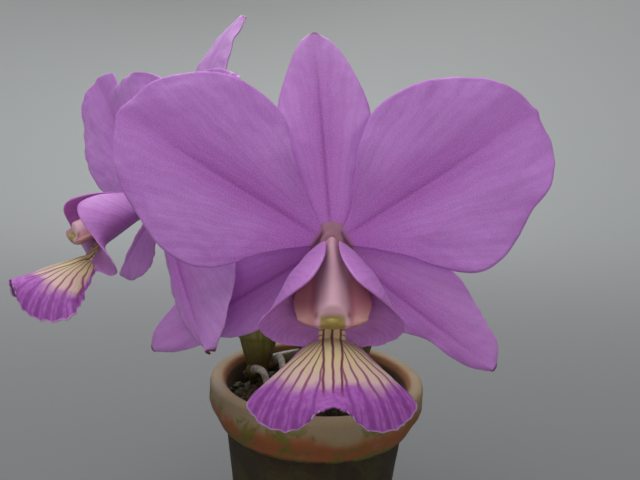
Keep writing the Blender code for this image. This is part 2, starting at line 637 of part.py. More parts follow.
def chip_mesh(index, draw, taken):
    """One bark chip, a flattened lump, lying where the plant leaves room, or None."""
    angle = index * 2.39996
    reach = math.sqrt((index + 0.5) / CHIP_COUNT) * (wall_radius(MIX_EDGE) - 4.2)
    x, y = reach * math.cos(angle), reach * math.sin(angle)
    size = draw.uniform(2.2, 3.6)
    turn = Euler((draw.uniform(-0.5, 0.5), draw.uniform(-0.5, 0.5), draw.uniform(0, math.tau)))
    stretch = Vector((1.3, draw.uniform(0.6, 0.9), 0.55))
    if any(math.hypot(x - px, y - py) < radius + size * 0.7 for px, py, radius in taken):
        return None
    bm = bmesh.new()
    bmesh.ops.create_icosphere(bm, subdivisions=1, radius=1.0)
    for vert in bm.verts:
        rough = 1 + 0.35 * noise.noise(vert.co * 1.7 + Vector((index * 3.1, 0, 0)))
        place = Vector([c * s for c, s in zip(vert.co, stretch)]) * size * rough
        place.rotate(turn)
        vert.co = (place + Vector((x, y, mix_height(x, y) + 0.3))) * MM
    mesh = bpy.data.meshes.new(f"chip_{index}")
    bm.to_mesh(mesh)
    bm.free()
    return mesh


def make_mix(materials, collection):
    """The bark mix that fills the pot, with chips on its surface and plain holes for the plant's feet."""
    bottom = FLOOR_THICKNESS + GAP
    profile = [
        (0, bottom), (wall_radius(bottom) - 2.4, bottom), (wall_radius(FLOOR_THICKNESS + 2.5) - MIX_GAP, FLOOR_THICKNESS + 2.5),
        (wall_radius(POT_HEIGHT - RIM_BAND) - MIX_GAP, POT_HEIGHT - RIM_BAND),
        (wall_radius(MIX_EDGE - 0.5) - MIX_GAP, MIX_EDGE - 0.5),
    ]
    profile += [(radius, mix_height(radius, 0)) for radius in (25.0, 19.0, 12.0, 5.0)] + [(0, mix_height(0, 0))]
    draw = random.Random(CHIP_SEED)
    taken = stood_in()
    chips = [chip_mesh(i, draw, taken) for i in range(CHIP_COUNT)]
    cutters = []
    holes = [(foot, BULB_FOOT_RADIUS + 0.5, BULB_SINK) for foot in (bulb_line(i)[0] for i in range(len(PSEUDOBULBS)))]
    holes += [(Vector(root[-1]), ROOT_RADIUS + 1.1, -root[-1][2]) for root in ROOTS]
    for i, (foot, radius, sink) in enumerate(holes):
        bm = bmesh.new()
        level = mix_height(foot.x, foot.y)
        top, low = level + 8.0, level - sink - GAP - 0.6
        bmesh.ops.create_cone(
            bm, cap_ends=True, segments=14, radius1=radius * MM, radius2=radius * MM,
            depth=(top - low) * MM, matrix=Matrix.Translation(Vector((foot.x, foot.y, (top + low) / 2)) * MM),
        )
        mesh = bpy.data.meshes.new(f"hole_{i}")
        bm.to_mesh(mesh)
        bm.free()
        cutters.append(mesh)
    meshes = [turned_mesh("mix", profile, 40)] + [chip for chip in chips if chip]
    joined("potting_mix", meshes, materials["bark"], collection, cutters=cutters)


def main():
    clear_scene()
    collection = make_collection("cattleya_orchid")
    materials = {name: make_material(name) for name in COLOURS}
    make_pot(materials, collection)
    make_mix(materials, collection)
    make_plant(materials, collection)
    make_leaves(materials, collection)
    make_stem(materials, collection)
    for letter in FLOWERS:
        make_flower(letter, materials, collection)


main()
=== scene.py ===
# %% [markdown]
# # A cattleya orchid in a clay pot
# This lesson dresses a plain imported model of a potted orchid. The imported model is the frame: it fixes
# where each petal, leaf and stem is, and every piece made here stands in for one of its solids. Lengths
# are in millimetres until the last moment, because a flower is easier to think about that way.

# %% Load the frame
import math
import random
from functools import partial

import bpy
from mathutils import Euler, Matrix, Vector, noise


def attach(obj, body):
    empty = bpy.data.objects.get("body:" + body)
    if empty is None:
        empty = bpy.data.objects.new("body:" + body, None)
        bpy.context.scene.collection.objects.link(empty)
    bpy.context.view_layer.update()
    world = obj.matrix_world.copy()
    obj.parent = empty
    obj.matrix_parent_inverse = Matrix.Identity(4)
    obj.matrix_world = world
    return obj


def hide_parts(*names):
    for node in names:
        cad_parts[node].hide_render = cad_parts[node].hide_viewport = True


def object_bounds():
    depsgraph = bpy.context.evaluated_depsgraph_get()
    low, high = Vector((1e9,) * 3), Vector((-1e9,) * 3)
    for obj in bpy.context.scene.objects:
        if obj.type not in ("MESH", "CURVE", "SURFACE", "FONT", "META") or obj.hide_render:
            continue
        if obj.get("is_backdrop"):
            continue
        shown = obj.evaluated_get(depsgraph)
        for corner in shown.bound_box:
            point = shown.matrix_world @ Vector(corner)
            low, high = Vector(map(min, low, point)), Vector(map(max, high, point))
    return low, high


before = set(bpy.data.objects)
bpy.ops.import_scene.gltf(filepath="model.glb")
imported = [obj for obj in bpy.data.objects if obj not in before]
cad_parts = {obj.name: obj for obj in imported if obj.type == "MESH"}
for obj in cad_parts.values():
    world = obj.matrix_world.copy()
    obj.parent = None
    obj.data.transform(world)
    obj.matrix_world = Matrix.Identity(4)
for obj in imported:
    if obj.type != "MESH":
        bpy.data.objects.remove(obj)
cad_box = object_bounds()
MM = 0.001  # one millimetre in Blender's metres
CENTIMETRE, METRE = 10.0, 1000.0  # in millimetres
print("the packed model has", len(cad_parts), "solids")

# %% [markdown]
# Nearly everything on a plant is one of two shapes. A petal, sepal or leaf is a **blade**: a flat grid
# that a rule curls into place and Solidify gives a thickness. A stem, root or bulb is a **pod**: a sphere
# that a rule draws out. Sculpting by hand would work as well, but a rule can be changed with one number,
# and it puts the veins on the UV map where the tissue really grew.


# %% Two shapes that a plant is made of
def smooth_step(x):
    x = min(1.0, max(0.0, x))
    return x * x * (3.0 - 2.0 * x)


def along_curve(points, share):
    """The point this share of the way along a smooth curve through the points."""
    place = min(max(share, 0.0), 1.0) * (len(points) - 1)
    index = min(int(place), len(points) - 2)
    local = place - index
    p1, p2 = Vector(points[index]), Vector(points[index + 1])
    p0 = Vector(points[index - 1]) if index else 2 * p1 - p2
    p3 = Vector(points[index + 2]) if index + 2 < len(points) else 2 * p2 - p1
    return 0.5 * (
        2 * p1
        + (p2 - p0) * local
        + (2 * p0 - 5 * p1 + 4 * p2 - p3) * local**2
        + (3 * p1 - p0 - 3 * p2 + p3) * local**3
    )


def place_by_rule(piece, rule, to_shares):
    """Moves each point by the rule, and keeps the rule's flat chart, in centimetres, as a UV map."""
    flat = []
    for point in piece.data.vertices:
        place, chart = rule(*to_shares(point.co))
        point.co = place * MM
        flat.append(chart)
    layer = piece.data.uv_layers.new(name="flat")
    for corner in piece.data.loops:
        across, along = flat[corner.vertex_index]
        layer.data[corner.index].uv = (across / CENTIMETRE + 0.5, along / CENTIMETRE + 0.5)


def settle(piece, name, material, node=None):
    """Names a finished piece, gives it its material and hands it to the frame."""
    piece.name = piece.data.name = name
    piece.data.materials.clear()
    piece.data.materials.append(material)
    for face in piece.data.polygons:
        face.use_smooth = True
    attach(piece, "root")
    if node:
        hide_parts(node)
    return piece


def apply_modifiers(piece):
    bpy.ops.object.select_all(action="DESELECT")
    piece.select_set(True)
    bpy.context.view_layer.objects.active = piece
    for modifier in list(piece.modifiers):
        bpy.ops.object.modifier_apply(modifier=modifier.name)


def blade(rule, steps, thickness):
    """A grid curled by a rule of (along 0 to 1, across -1 to 1), with its thickness."""
    bpy.ops.mesh.primitive_grid_add(x_subdivisions=steps[0], y_subdivisions=steps[1], size=2)
    piece = bpy.context.object
    place_by_rule(piece, rule, lambda co: ((co.x + 1) / 2, co.y))
    solid = piece.modifiers.new("thickness", "SOLIDIFY")
    solid.thickness = thickness * MM
    solid.offset = 0
    apply_modifiers(piece)
    return piece


def turn_faces(inside=False):
    """Turns all faces of the active piece outwards, or to its inside."""
    bpy.ops.object.mode_set(mode="EDIT")
    bpy.ops.mesh.select_all(action="SELECT")
    bpy.ops.mesh.normals_make_consistent(inside=inside)
    bpy.ops.object.mode_set(mode="OBJECT")


def pod(rule, segments, rings):
    """A sphere drawn out by a rule of (along 0 to 1, angle round, ring 0 at the ends to 1)."""
    bpy.ops.mesh.primitive_uv_sphere_add(segments=segments, ring_count=rings, radius=1)
    piece = bpy.context.object
    place_by_rule(piece, rule, lambda co: ((1 - co.z) / 2, math.atan2(co.y, co.x), math.hypot(co.x, co.y)))
    turn_faces()
    return piece


def stalk_rule(points, radii):
    """The rule of a round stem along the points, with a radius at each."""

    def rule(along, angle, ring):
        share = math.acos(1 - 2 * along) / math.pi
        middle = along_curve(points, share)
        ahead = (along_curve(points, share + 0.01) - along_curve(points, share - 0.01)).normalized()
        upright = abs(ahead.z) > 0.95
        side = (ahead.orthogonal() if upright else ahead.cross(Vector((0, 0, 1)))).normalized()
        other = ahead.cross(side)
        reach = along_curve([(radius, 0, 0) for radius in radii], share).x * min(1.0, ring * 6) ** 0.5
        place = middle + (side * math.cos(angle) + other * math.sin(angle)) * reach
        return place, (angle * 2, share * 50)

    return rule


# %% [markdown]
# Colours are picked as sRGB hex values, the way a paint program shows them, and Blender's shaders want
# them linear. One small function converts them, and another adds a shader node of any kind with all that
# feeds it, so that each material below reads as a short recipe.


# %% Colours and shader nodes
# A smooth ramp takes a value, the values where it starts and ends, and its two results, if not 0 and 1.
RAMP = "MapRange SMOOTHSTEP"


def colour(code):
    """A hex colour as linear red, green, blue and alpha."""
    parts = [int(code[i : i + 2], 16) / 255 for i in (0, 2, 4)]
    return [c / 12.92 if c <= 0.04045 else ((c + 0.055) / 1.055) ** 2.4 for c in parts] + [1]


def add(material, kind, *feeds, out=0, **named):
    """Adds a shader node, such as "Math SINE", and gives one of its outputs.

    Feeds without a name go to the inputs in order. A name with a capital is an input's, and a small one is
    a setting's. An input takes a value, a hex colour or another node's output.
    """
    kind, _, mode = kind.partition(" ")
    made = material.node_tree.nodes.new("ShaderNode" + kind)
    if mode:
        setattr(made, "interpolation_type" if kind == "MapRange" else "operation", mode)
    for name, value in [*enumerate(feeds), *named.items()]:
        if isinstance(name, str) and name.islower():
            setattr(made, name, value)
        elif isinstance(value, bpy.types.NodeSocket):
            material.node_tree.links.new(value, made.inputs[name])
        else:
            made.inputs[name].default_value = colour(value) if isinstance(value, str) else value
    return made.outputs[out]


def new_material(name, roughness, ior=1.45, **sockets):
    """A material with a Principled shader, and the add function bound to it."""
    material = bpy.data.materials.new(name)
    material.use_nodes = True
    shader = material.node_tree.nodes["Principled BSDF"]
    for socket, value in {"Roughness": roughness, "IOR": ior, **sockets}.items():
        shader.inputs[socket.replace("_", " ")].default_value = value
    return material, partial(add, material)


def dress(material, tint, relief=None, strength=0.5, depth=0.5):
    """Gives a material its colour and, where there is a height, fine relief this many millimetres deep."""
    feeds = {"Base Color": tint}
    if relief is not None:
        feeds["Normal"] = add(material, "Bump", Height=relief, Strength=strength, Distance=depth * MM)
    for socket, value in feeds.items():
        material.node_tree.links.new(value, material.node_tree.nodes["Principled BSDF"].inputs[socket])


def overlap(node, first, *others):
    """The mask of where several masks overlap, or a mask made weaker by a number."""
    for other in others:
        first = node("Math MULTIPLY", first, other)
    return first


def paint(node, tint, *coats):
    """Lays coats of colour on a tint, each through its own mask."""
    for mask, coat in coats:
        tint = node("MixRGB", mask, tint, coat)
    return tint


def bell(node, value, width):
    """1 where the value is 0, falling off smoothly to either side."""
    square = node("Math POWER", node("Math DIVIDE", value, width), 2.0)
    return node("Math EXPONENT", overlap(node, square, -1.0))


def flat_map(node):
    """Millimetres across and along the piece's own flat chart, and the chart itself in centimetres."""
    chart = node("UVMap", uv_map="flat")
    ways = [node("SeparateXYZ", chart, out=i) for i in (0, 1)]
    across, along = (node("Math MULTIPLY_ADD", way, CENTIMETRE, -CENTIMETRE / 2) for way in ways)
    return across, along, chart


print("helpers ready")

# %% [markdown]
# ## The flowers' places
# Each flower has its own frame: X to its right as seen from the front, -Y out of the flower, Z up its
# back sepal. The frame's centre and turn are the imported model's, so every blade lands on its solid.

# %% Where the two flowers are
FLOWERS = {
    "a": {"centre": (1.8, -53.9, 126.8), "yaw": 0.0, "nod": -10.0, "roll": -2.3},
    "b": {"centre": (-51.7, -18.7, 130.8), "yaw": -55.0, "nod": -19.0, "roll": 0.0},
}


def flower_frame(letter):
    spec = FLOWERS[letter]
    turn = Matrix.Translation(Vector(spec["centre"]))
    for name, axis in (("yaw", "Z"), ("nod", "X"), ("roll", "Y")):
        turn = turn @ Matrix.Rotation(math.radians(spec[name]), 4, axis)
    return turn


for letter in FLOWERS:
    facing = flower_frame(letter).to_3x3() @ Vector((0, -1, 0))
    print("flower", letter, "faces", [round(c, 2) for c in facing])

# %% [markdown]
# ## Petal tissue
# A fresh cattleya petal is a thin wet sheet of cells: soft, faintly sparkling, and lit from inside
# because light passes through it. Subsurface scattering gives that glow. Veins run out from the claw, and
# the colour is deepest along the midrib. IOR 1.4 and a roughness near 0.55 are usual for plant skin.
# Every mask below is in millimetres on the petal's flat chart. A noise takes the number of its lumps in
# one unit, so a scale of CENTIMETRE / 4 on the chart gives lumps 4 mm wide.


# %% Petal material
def tissue(name, scale=1.4):
    """Bare plant tissue: soft, a little moist, and lit from inside to a depth of about a millimetre."""
    return new_material(
        name, 0.55, 1.4,
        Subsurface_Weight=0.6, Subsurface_Radius=(1.0, 0.45, 0.9), Subsurface_Scale=scale * MM,
    )


def petal_tissue(name, pale, full, deep, brown_tip=0.0):
    material, node = tissue(name)
    across, along, chart = flat_map(node)
    # Veins fan out from a point 4 mm behind the claw. The fine ones between them are drawn at a third of
    # their spacing, which is as coarse as they need to be to show.
    fan = node("Math ARCTAN2", across, node("Math ADD", along, 4.0))
    drift = node("TexNoise", Vector=chart, Scale=CENTIMETRE / 8.33, Detail=1.0)
    fan = node("Math ADD", fan, node("Math MULTIPLY_ADD", drift, 0.08, -0.04))
    veins = node(RAMP, node("Math SINE", node("Math MULTIPLY", fan, 70.0)), 0.3, 1.0)
    veins = overlap(node, veins, node(RAMP, along, 5.0, 18.0))
    fine = node(RAMP, node("Math SINE", node("Math MULTIPLY", fan, 210.0)), -0.2, 1.0)
    fine = overlap(node, fine, node(RAMP, along, 10.0, 30.0))
    mottle = node("TexNoise", Vector=chart, Scale=CENTIMETRE / 1.667, Detail=5.0, Roughness=0.65)
    cells = node("TexNoise", Vector=chart, Scale=CENTIMETRE / 0.357, Detail=3.0)
    # The flush is the deeper colour along the midrib and round the claw.
    flush = overlap(node, bell(node, across, 6.5), node(RAMP, along, 64.0, 22.0, 0.25, 1.0))
    flush = node("Math MAXIMUM", flush, node(RAMP, along, 30.0, 4.0))
    flush = node("Math ADD", flush, node("Math MULTIPLY_ADD", mottle, 0.5, -0.25), use_clamp=True)
    rib = overlap(node, bell(node, across, 0.55), node(RAMP, along, 60.0, 24.0, 0.0, 0.7))
    rib = overlap(node, rib, node(RAMP, along, 2.0, 9.0))
    coats = [
        (flush, full), (overlap(node, veins, 0.10), deep), (overlap(node, fine, 0.05), deep), (rib, deep),
        (node(RAMP, cells, 0.40, 0.70, 0.0, 0.20), "e6bdf0"),
        (node(RAMP, along, 5.4, 3.4, 0.0, 0.6), "8a6048"),
    ]
    if brown_tip:
        coats.append((node(RAMP, along, brown_tip - 0.9, brown_tip + 0.1), "5a2f1c"))
    relief = node("Math ADD", overlap(node, veins, -0.5), overlap(node, fine, -0.3))
    dress(material, paint(node, pale, *coats), node("Math MULTIPLY_ADD", cells, 0.5, relief), 0.16, 0.3)
    return material


print("petal tissue ready")

# %% [markdown]
# ## Sepals and petals
# Five blades stand round the flower's centre: one sepal up, two down to the sides, and two broad petals
# in front of them. Each outline is given from the claw to the tip for either side of the midrib. The
# blade then leans back, is folded along its midrib, cups and ripples at its edge, and the last small
# wrinkles are noise, strongest near the margin where a petal grows faster than its middle.

# %% Outlines of the five blades, (distance out, half-width) in millimetres
SEPAL = {"back": 1.3, "reflex": 1.0, "fold": 0.8, "cup": 1.6, "wave": 0.25, "waves": 2.0}
PETAL = {"back": -0.6, "fold": 1.6, "cup": 0.8}
TEPALS = {
    "dorsal_sepal": {
        **SEPAL, "angle": 95.2, "lean": 0.08, "reflex": 1.5, "fold": -0.6, "cup": 1.2,
        "upper": [(3.6, 3.0), (9, 6.2), (16, 8.2), (23, 10.0), (31, 11.4), (38, 11.0), (44.5, 8.8),
            (50.5, 6.2), (54.4, 3.8), (56.4, 0.9)],
        "lower": [(3.6, 3.2), (9, 7.4), (16, 9.8), (23, 11.6), (31, 13.2), (37.5, 12.4), (45, 9.5),
            (51, 6.6), (54.6, 3.7), (56.4, 0.9)],
    },
    "petal_right": {
        **PETAL, "angle": 33.2, "lean": 0.0, "reflex": 3.0, "wave": 0.8, "waves": 3.0,
        "upper": [(3.6, 1.3), (8.5, 4.4), (15.5, 13.1), (21.4, 19.0), (27.8, 22.8), (35.5, 23.2),
            (42.3, 21.9), (49.5, 18.8), (56.0, 14.2), (60.8, 8.0), (63.5, 0.8)],
        "lower": [(3.6, 2.8), (9.5, 8.0), (15.0, 13.6), (20.5, 20.6), (27.0, 26.0), (34.0, 26.6),
            (41.0, 24.3), (48.0, 20.4), (55.0, 17.4), (61.0, 10.8), (63.5, 0.8)],
    },
    "petal_left": {
        **PETAL, "angle": 148.7, "size": 0.985, "lean": -0.06, "reflex": 2.0, "wave": 0.7, "waves": 2.5,
        "upper": [(3.6, 1.6), (9.0, 4.8), (15.5, 9.6), (21.0, 14.6), (26.5, 20.2), (32.5, 22.4),
            (39.0, 22.9), (45.5, 22.2), (53.0, 18.2), (60.0, 11.6), (64.3, 0.8)],
        "lower": [(3.6, 2.8), (9.5, 7.4), (15.0, 12.4), (20.0, 18.6), (26.0, 22.8), (33.0, 23.8),
            (39.5, 22.5), (46.0, 19.4), (53.0, 16.0), (59.6, 9.0), (64.3, 0.8)],
    },
    "lateral_sepal_right": {
        **SEPAL, "angle": -37.3, "lean": 0.08,
        "upper": [(3.6, 3.0), (9, 7.4), (15, 10.2), (21, 12.4), (27, 13.6), (33, 13.3), (39, 11.0),
            (45, 8.5), (51, 6.1), (54.8, 1.6)],
        "lower": [(3.6, 2.6), (9, 6.6), (15, 8.8), (21, 9.0), (26, 8.2), (31, 6.0), (36, 4.4), (43, 4.3),
            (49.5, 3.2), (54.8, 0.6)],
    },
    "lateral_sepal_left": {
        **SEPAL, "angle": 211.4, "size": 1.17, "lean": 0.45, "twist": 0.25,
        "upper": [(3.6, 3.0), (9, 7.2), (15, 9.8), (21, 11.6), (27, 12.2), (33, 11.2), (39, 9.0),
            (45, 6.9), (50.6, 4.6), (53.6, 1.2)],
        "lower": [(3.6, 2.6), (9, 6.4), (15, 9.0), (21, 10.2), (27, 9.9), (32, 8.5), (36.5, 6.0),
            (42.5, 5.6), (48.5, 3.8), (53.6, 0.8)],
    },
}
# What differs on the second flower.
SECOND = {
    "dorsal_sepal": {
        "angle": 98.0, "lean": 0.02, "reflex": 8.0,
        "upper": [(3.6, 1.8), (9.5, 5.0), (17.5, 9.0), (26, 12.5), (35, 14.2), (43, 14.2), (50, 13.3),
            (57, 11.2), (63.5, 7.2), (68.2, 0.9)],
        "lower": [(3.6, 2.2), (9.5, 5.6), (17.5, 8.6), (26, 10.4), (35, 10.8), (43, 9.8), (50, 8.6),
            (56.5, 6.0), (63.0, 3.4), (68.2, 0.9)],
    },
    "petal_right": {
        "angle": 70.0, "lean": 0.02,
        "upper": [(3.6, 1.3), (8, 4.6), (13, 10.5), (18, 17.0), (23.5, 22.0), (29, 24.6), (34.5, 23.4),
            (39, 18.6), (42, 12.0), (44.4, 6.0), (45.6, 0.8)],
        "lower": [(3.6, 2.2), (8, 5.4), (13, 10.0), (18, 14.4), (23.5, 17.6), (29, 18.6), (34, 17.4),
            (38.4, 14.6), (41.8, 10.6), (44.3, 6.0), (45.6, 0.8)],
    },
    "petal_left": {
        "size": 1.0, "lean": -0.24,
        "upper": [(3.6, 1.6), (9, 5.6), (15, 13.0), (20.5, 20.5), (27, 26.0), (34, 24.6), (41.5, 20.4),
            (48.0, 14.0), (52.5, 7.8), (59.5, 8.8), (68.5, 0.8)],
        "lower": [(3.6, 2.0), (9.5, 5.6), (15, 11.0), (21, 16.6), (29, 20.2), (36.5, 20.4), (44.5, 19.2),
            (53.0, 17.3), (61, 14.4), (67.4, 8.8), (68.5, 0.8)],
    },
    "lateral_sepal_right": {
        "angle": -39.0, "lean": 0.14, "twist": 0.15,
        "upper": [(3.6, 2.4), (9, 6.2), (15, 10.6), (21, 14.8), (28, 18.0), (35.4, 18.6), (41.5, 16.0),
            (46.5, 11.8), (50.4, 6.8), (53.2, 0.9)],
        "lower": [(3.6, 2.6), (9, 3.8), (15, 4.6), (21.5, 5.7), (28.6, 6.3), (36.5, 5.8), (43.4, 4.4),
            (48.0, 2.8), (51.2, 1.4), (53.2, 0.6)],
    },
    "lateral_sepal_left": {
        "angle": 215.0, "size": 1.0, "lean": 0.2, "twist": -0.5,
        "upper": [(3.6, 2.4), (9, 2.8), (15, 2.8), (20, 2.7), (26, 2.9), (32, 3.0), (38, 2.8),
            (43.5, 2.2), (48.5, 1.4), (52.3, 0.6)],
        "lower": [(3.6, 2.6), (9, 4.6), (15, 6.2), (21, 7.2), (27.3, 8.0), (33, 8.0), (38.5, 7.0),
            (43.8, 5.4), (48.5, 3.4), (52.3, 0.8)],
    },
}


def blade_length(spec):
    """How far out the blade's tip is."""
    first, last = spec["upper"][0][0], spec["upper"][-1][0]
    return first + (last - first) * spec.get("size", 1.0)


def tepal_rule(name, spec, turn, seed):
    """The rule that curls one sepal or petal into its place on the plant."""
    angle = math.radians(spec["angle"])
    outward = Vector((math.cos(angle), 0, math.sin(angle)))
    side = -1.0 if name.endswith("left") else 1.0
    sideways = Vector((-math.sin(angle), 0, math.cos(angle))) * side
    first = spec["upper"][0][0]
    last = blade_length(spec)
    upper, lower = (
        [Vector((first + (out - first) * spec.get("size", 1.0), half * way, 0)) for out, half in spec[edge]]
        for edge, way in (("upper", 1), ("lower", -1))
    )
    shift = Vector((seed * 7.3, seed * 3.1, 0))

    def rule(along, across):
        edge = along_curve(upper if across >= 0 else lower, along)
        middle = Vector((first + (last - first) * along, 0, 0))
        out, aside, _ = middle.lerp(edge, abs(across))
        grown = smooth_step(along / 0.3)
        back = spec["back"] + spec["lean"] * (out - first) + spec["reflex"] * along**3
        back -= spec["fold"] * grown * (1 - math.exp(-((aside / 7.0) ** 2)))
        back += spec.get("twist", 0.0) * grown * aside
        back += spec["cup"] * grown * abs(across) ** 2.5
        ripple = math.sin(math.tau * spec["waves"] * along + (0.8 if across > 0 else 2.4))
        back += spec["wave"] * grown * abs(across) ** 3 * ripple
        # Broad creases 6 mm apart, finer ones 2.4 mm apart, and a raised midrib.
        crease = noise.noise(Vector((out, aside, 0)) * 0.16 + shift) * 0.7
        crease += noise.noise(Vector((out, aside, 0)) * 0.42 + shift) * 0.28
        back += crease * grown * (0.25 + abs(across) ** 2)
        back += 0.35 * math.exp(-((aside / 0.9) ** 2)) * grown * (1 - along)
        place = outward * out + sideways * aside + Vector((0, back, 0))
        place += outward * 0.25 * abs(across) ** 6 * noise.noise(Vector((along * 22, across * 2, seed)))
        return turn @ place, (aside, out)

    return rule


# %% Make the sepals and petals
petal_skin = petal_tissue("cattleya_petal_tissue", "bb82cb", "a95cb5", "8a3693")
for letter in FLOWERS:
    for count, (name, spec) in enumerate(TEPALS.items()):
        if letter == "b":
            spec = {**spec, **SECOND[name]}
        rule = tepal_rule(name, spec, flower_frame(letter), count + 11 * (letter == "b"))
        wide = name.startswith("petal")
        skin = petal_skin
        if not wide:
            tip = blade_length(spec)
            skin = petal_tissue(f"cattleya_sepal_tissue_{tip:.0f}", "c693d4", "b069bb", "8c3a95", tip)
        piece = blade(rule, (84, 64) if wide else (72, 36), 0.5)
        settle(piece, f"{name}_{letter}_bloom", skin, f"{name}_{letter}")
print("sepals and petals done")

# %% [markdown]
# ## The lip
# The lip is the third petal, and the showy one. Its two side lobes fold up into a tent over the column,
# it narrows to a neck, and then spreads into a broad front lobe with a notch. It is made as one blade:
# rows run from its midline to its margin, so the veins, which follow the rows, fan out by themselves.

# %% Rows of the lip's right half: midline, guide point and margin
LIP_ROWS = [
    ((0, 1.0, -3.9), (8.0, 1.8, -2.5), (1.8, 3.2, 0.6)),
    ((0, 4.5, -7.3), (12.5, 6.5, -4.4), (1.6, 8.6, -0.2)),
    ((0, 7.2, -11.0), (16.0, 9.5, -6.4), (1.7, 14.4, -1.8)),
    ((0, 9.2, -13.8), (19.0, 12.2, -8.0), (2.5, 19.4, -4.0)),
    ((0, 10.8, -15.9), (20.0, 14.0, -10.4), (5.0, 23.8, -7.6)),
    ((0, 12.1, -17.5), (19.2, 14.5, -13.2), (9.2, 23.4, -11.0)),
    ((0, 13.2, -18.8), (16.8, 14.5, -16.2), (13.6, 19.4, -14.8)),
    ((0, 14.1, -19.8), (13.5, 13.5, -19.2), (17.0, 15.0, -18.4)),
    ((0, 14.8, -20.6), (9.8, 12.6, -21.2), (15.8, 11.4, -21.9)),
    ((0, 15.4, -21.2), (6.4, 13.2, -22.0), (11.2, 11.2, -24.0)),
    ((0, 15.9, -21.7), (3.6, 14.6, -22.6), (7.0, 13.4, -24.2)),
    ((0, 16.8, -22.5), (4.8, 16.8, -23.2), (8.4, 14.6, -25.9)),
    ((0, 18.6, -24.0), (8.4, 19.4, -25.0), (12.6, 16.5, -29.9)),
    ((0, 20.6, -25.5), (10.6, 21.8, -26.6), (16.3, 18.0, -33.0)),
    ((0, 23.0, -27.2), (11.6, 24.6, -28.4), (19.0, 20.0, -36.1)),
    ((0, 25.4, -28.9), (10.4, 27.2, -30.0), (16.6, 23.0, -38.7)),
    ((0, 27.7, -30.3), (8.6, 29.4, -31.4), (13.3, 26.0, -39.8)),
    ((0, 29.7, -31.4), (6.2, 31.2, -32.6), (9.0, 29.0, -39.4)),
    ((0, 31.3, -32.2), (3.8, 32.4, -33.2), (5.4, 31.0, -37.2)),
    ((0, 32.4, -32.8), (2.2, 33.0, -33.4), (3.5, 32.5, -34.6)),
    ((0, 33.0, -33.1), (0.9, 33.2, -33.3), (1.6, 33.0, -33.7)),
]
NECK = 10 / 20  # the neck is the eleventh of the 21 rows


def lip_rule(turn, seed):
    rows = [[Vector((x, -forward, up)) for x, forward, up in row] for row in LIP_ROWS]
    middle, guide, margin = ([row[i] for row in rows] for i in range(3))
    slope = Vector((0, -0.832, -0.555))

    def rule(along, across):
        out = abs(across)
        start, past, end = (along_curve(line, along) for line in (middle, guide, margin))
        place = start * (1 - out) ** 2 + past * 2 * out * (1 - out) + end * out**2
        front = smooth_step((along - NECK) / 0.08)
        wander = 3 * noise.noise(Vector((along * 9, seed, across)))
        frill = 0.4 * out**7 * math.sin(along * math.tau * 26 + wander)
        tooth = out**10 * noise.noise(Vector((along * 60, seed, 5 + across)))
        row_way = (end - past).normalized()
        place += Vector((0, -0.4, 0.45)) * frill * front
        place += row_way * (0.45 * tooth * smooth_step((along - 0.3) / 0.1))
        ridge = math.exp(-((place.x / 1.5) ** 2)) * 0.35 * front * (1 - smooth_step((along - 0.75) / 0.2))
        place.z += ridge
        if across < 0:
            place.x = -place.x
        chart = (place.x, (place - Vector((0, -15.9, -21.7))).dot(slope))
        return turn @ place, chart

    return rule


# %% [markdown]
# The lip's colours are laid on its own flat chart: cream over the middle of the front lobe, three dark
# lines down its centre, veins that leave them sideways and fan out, and a purple border that the veins
# carry on into. The rows are the first UV map, and the flat chart is the second.

# %% Lip material
lip_skin, node = tissue("cattleya_lip_tissue", 1.2)
across, along, chart = flat_map(node)
rows = node("UVMap", uv_map="UVMap")
row = node("SeparateXYZ", rows, out=0)
side = node("Math ABSOLUTE", node("Math MULTIPLY_ADD", node("SeparateXYZ", rows, out=1), 2.0, -1.0))
aside = node("Math ABSOLUTE", across)
sway = node("Math SUBTRACT", node("TexNoise", Vector=chart, Scale=CENTIMETRE / 6.25, Detail=2.0), 0.5)
front = node(RAMP, row, NECK - 0.012, NECK + 0.012)
side_lobe = node("Math SUBTRACT", 1.0, front)
tongue = overlap(
    node, node(RAMP, row, 0.2, 0.3), node(RAMP, aside, 3.4, 2.6),
    node(RAMP, row, NECK + 0.04, NECK + 0.02),
)

# The side lobes' veins leave the midline at a slant, and the front lobe's fan out from the neck. The fine
# veins between them are drawn at a third of their spacing, as coarse as they need to be to show.
slant = node("Math SUBTRACT", row, node("Math MULTIPLY", side, 0.15))
slant = node("Math MULTIPLY", node("Math MULTIPLY_ADD", sway, 0.05, slant), 112.0)
fan = node("Math ARCTAN2", aside, node("Math ADD", along, 3.0))
fan = node("Math MULTIPLY", node("Math MULTIPLY_ADD", sway, 0.12, fan), 42.0)
phase = node("Math MULTIPLY_ADD", fan, front, overlap(node, slant, side_lobe))
veins = overlap(node, node(RAMP, node("Math SINE", phase), 0.5, 0.95), node(RAMP, aside, 1.7, 2.4))
fine = overlap(
    node, node(RAMP, node("Math SINE", node("Math MULTIPLY", phase, 3.0)), 0.1, 1.0),
    node(RAMP, side, 0.3, 0.7), node(RAMP, front, 0.0, 1.0, 0.35, 1.0),
)
# Three straight lines, 2 mm apart, run from under the column to the middle of the front lobe.
swayed = node("Math ADD", node("Math MULTIPLY_ADD", sway, 1.2, across), 20.0)
lines = overlap(
    node, node(RAMP, node("Math PINGPONG", swayed, 1.0), 0.42, 0.12),
    node(RAMP, aside, 2.9, 2.5), node(RAMP, along, 18.5, 15.0),
    node("Math MAXIMUM", front, tongue),
)

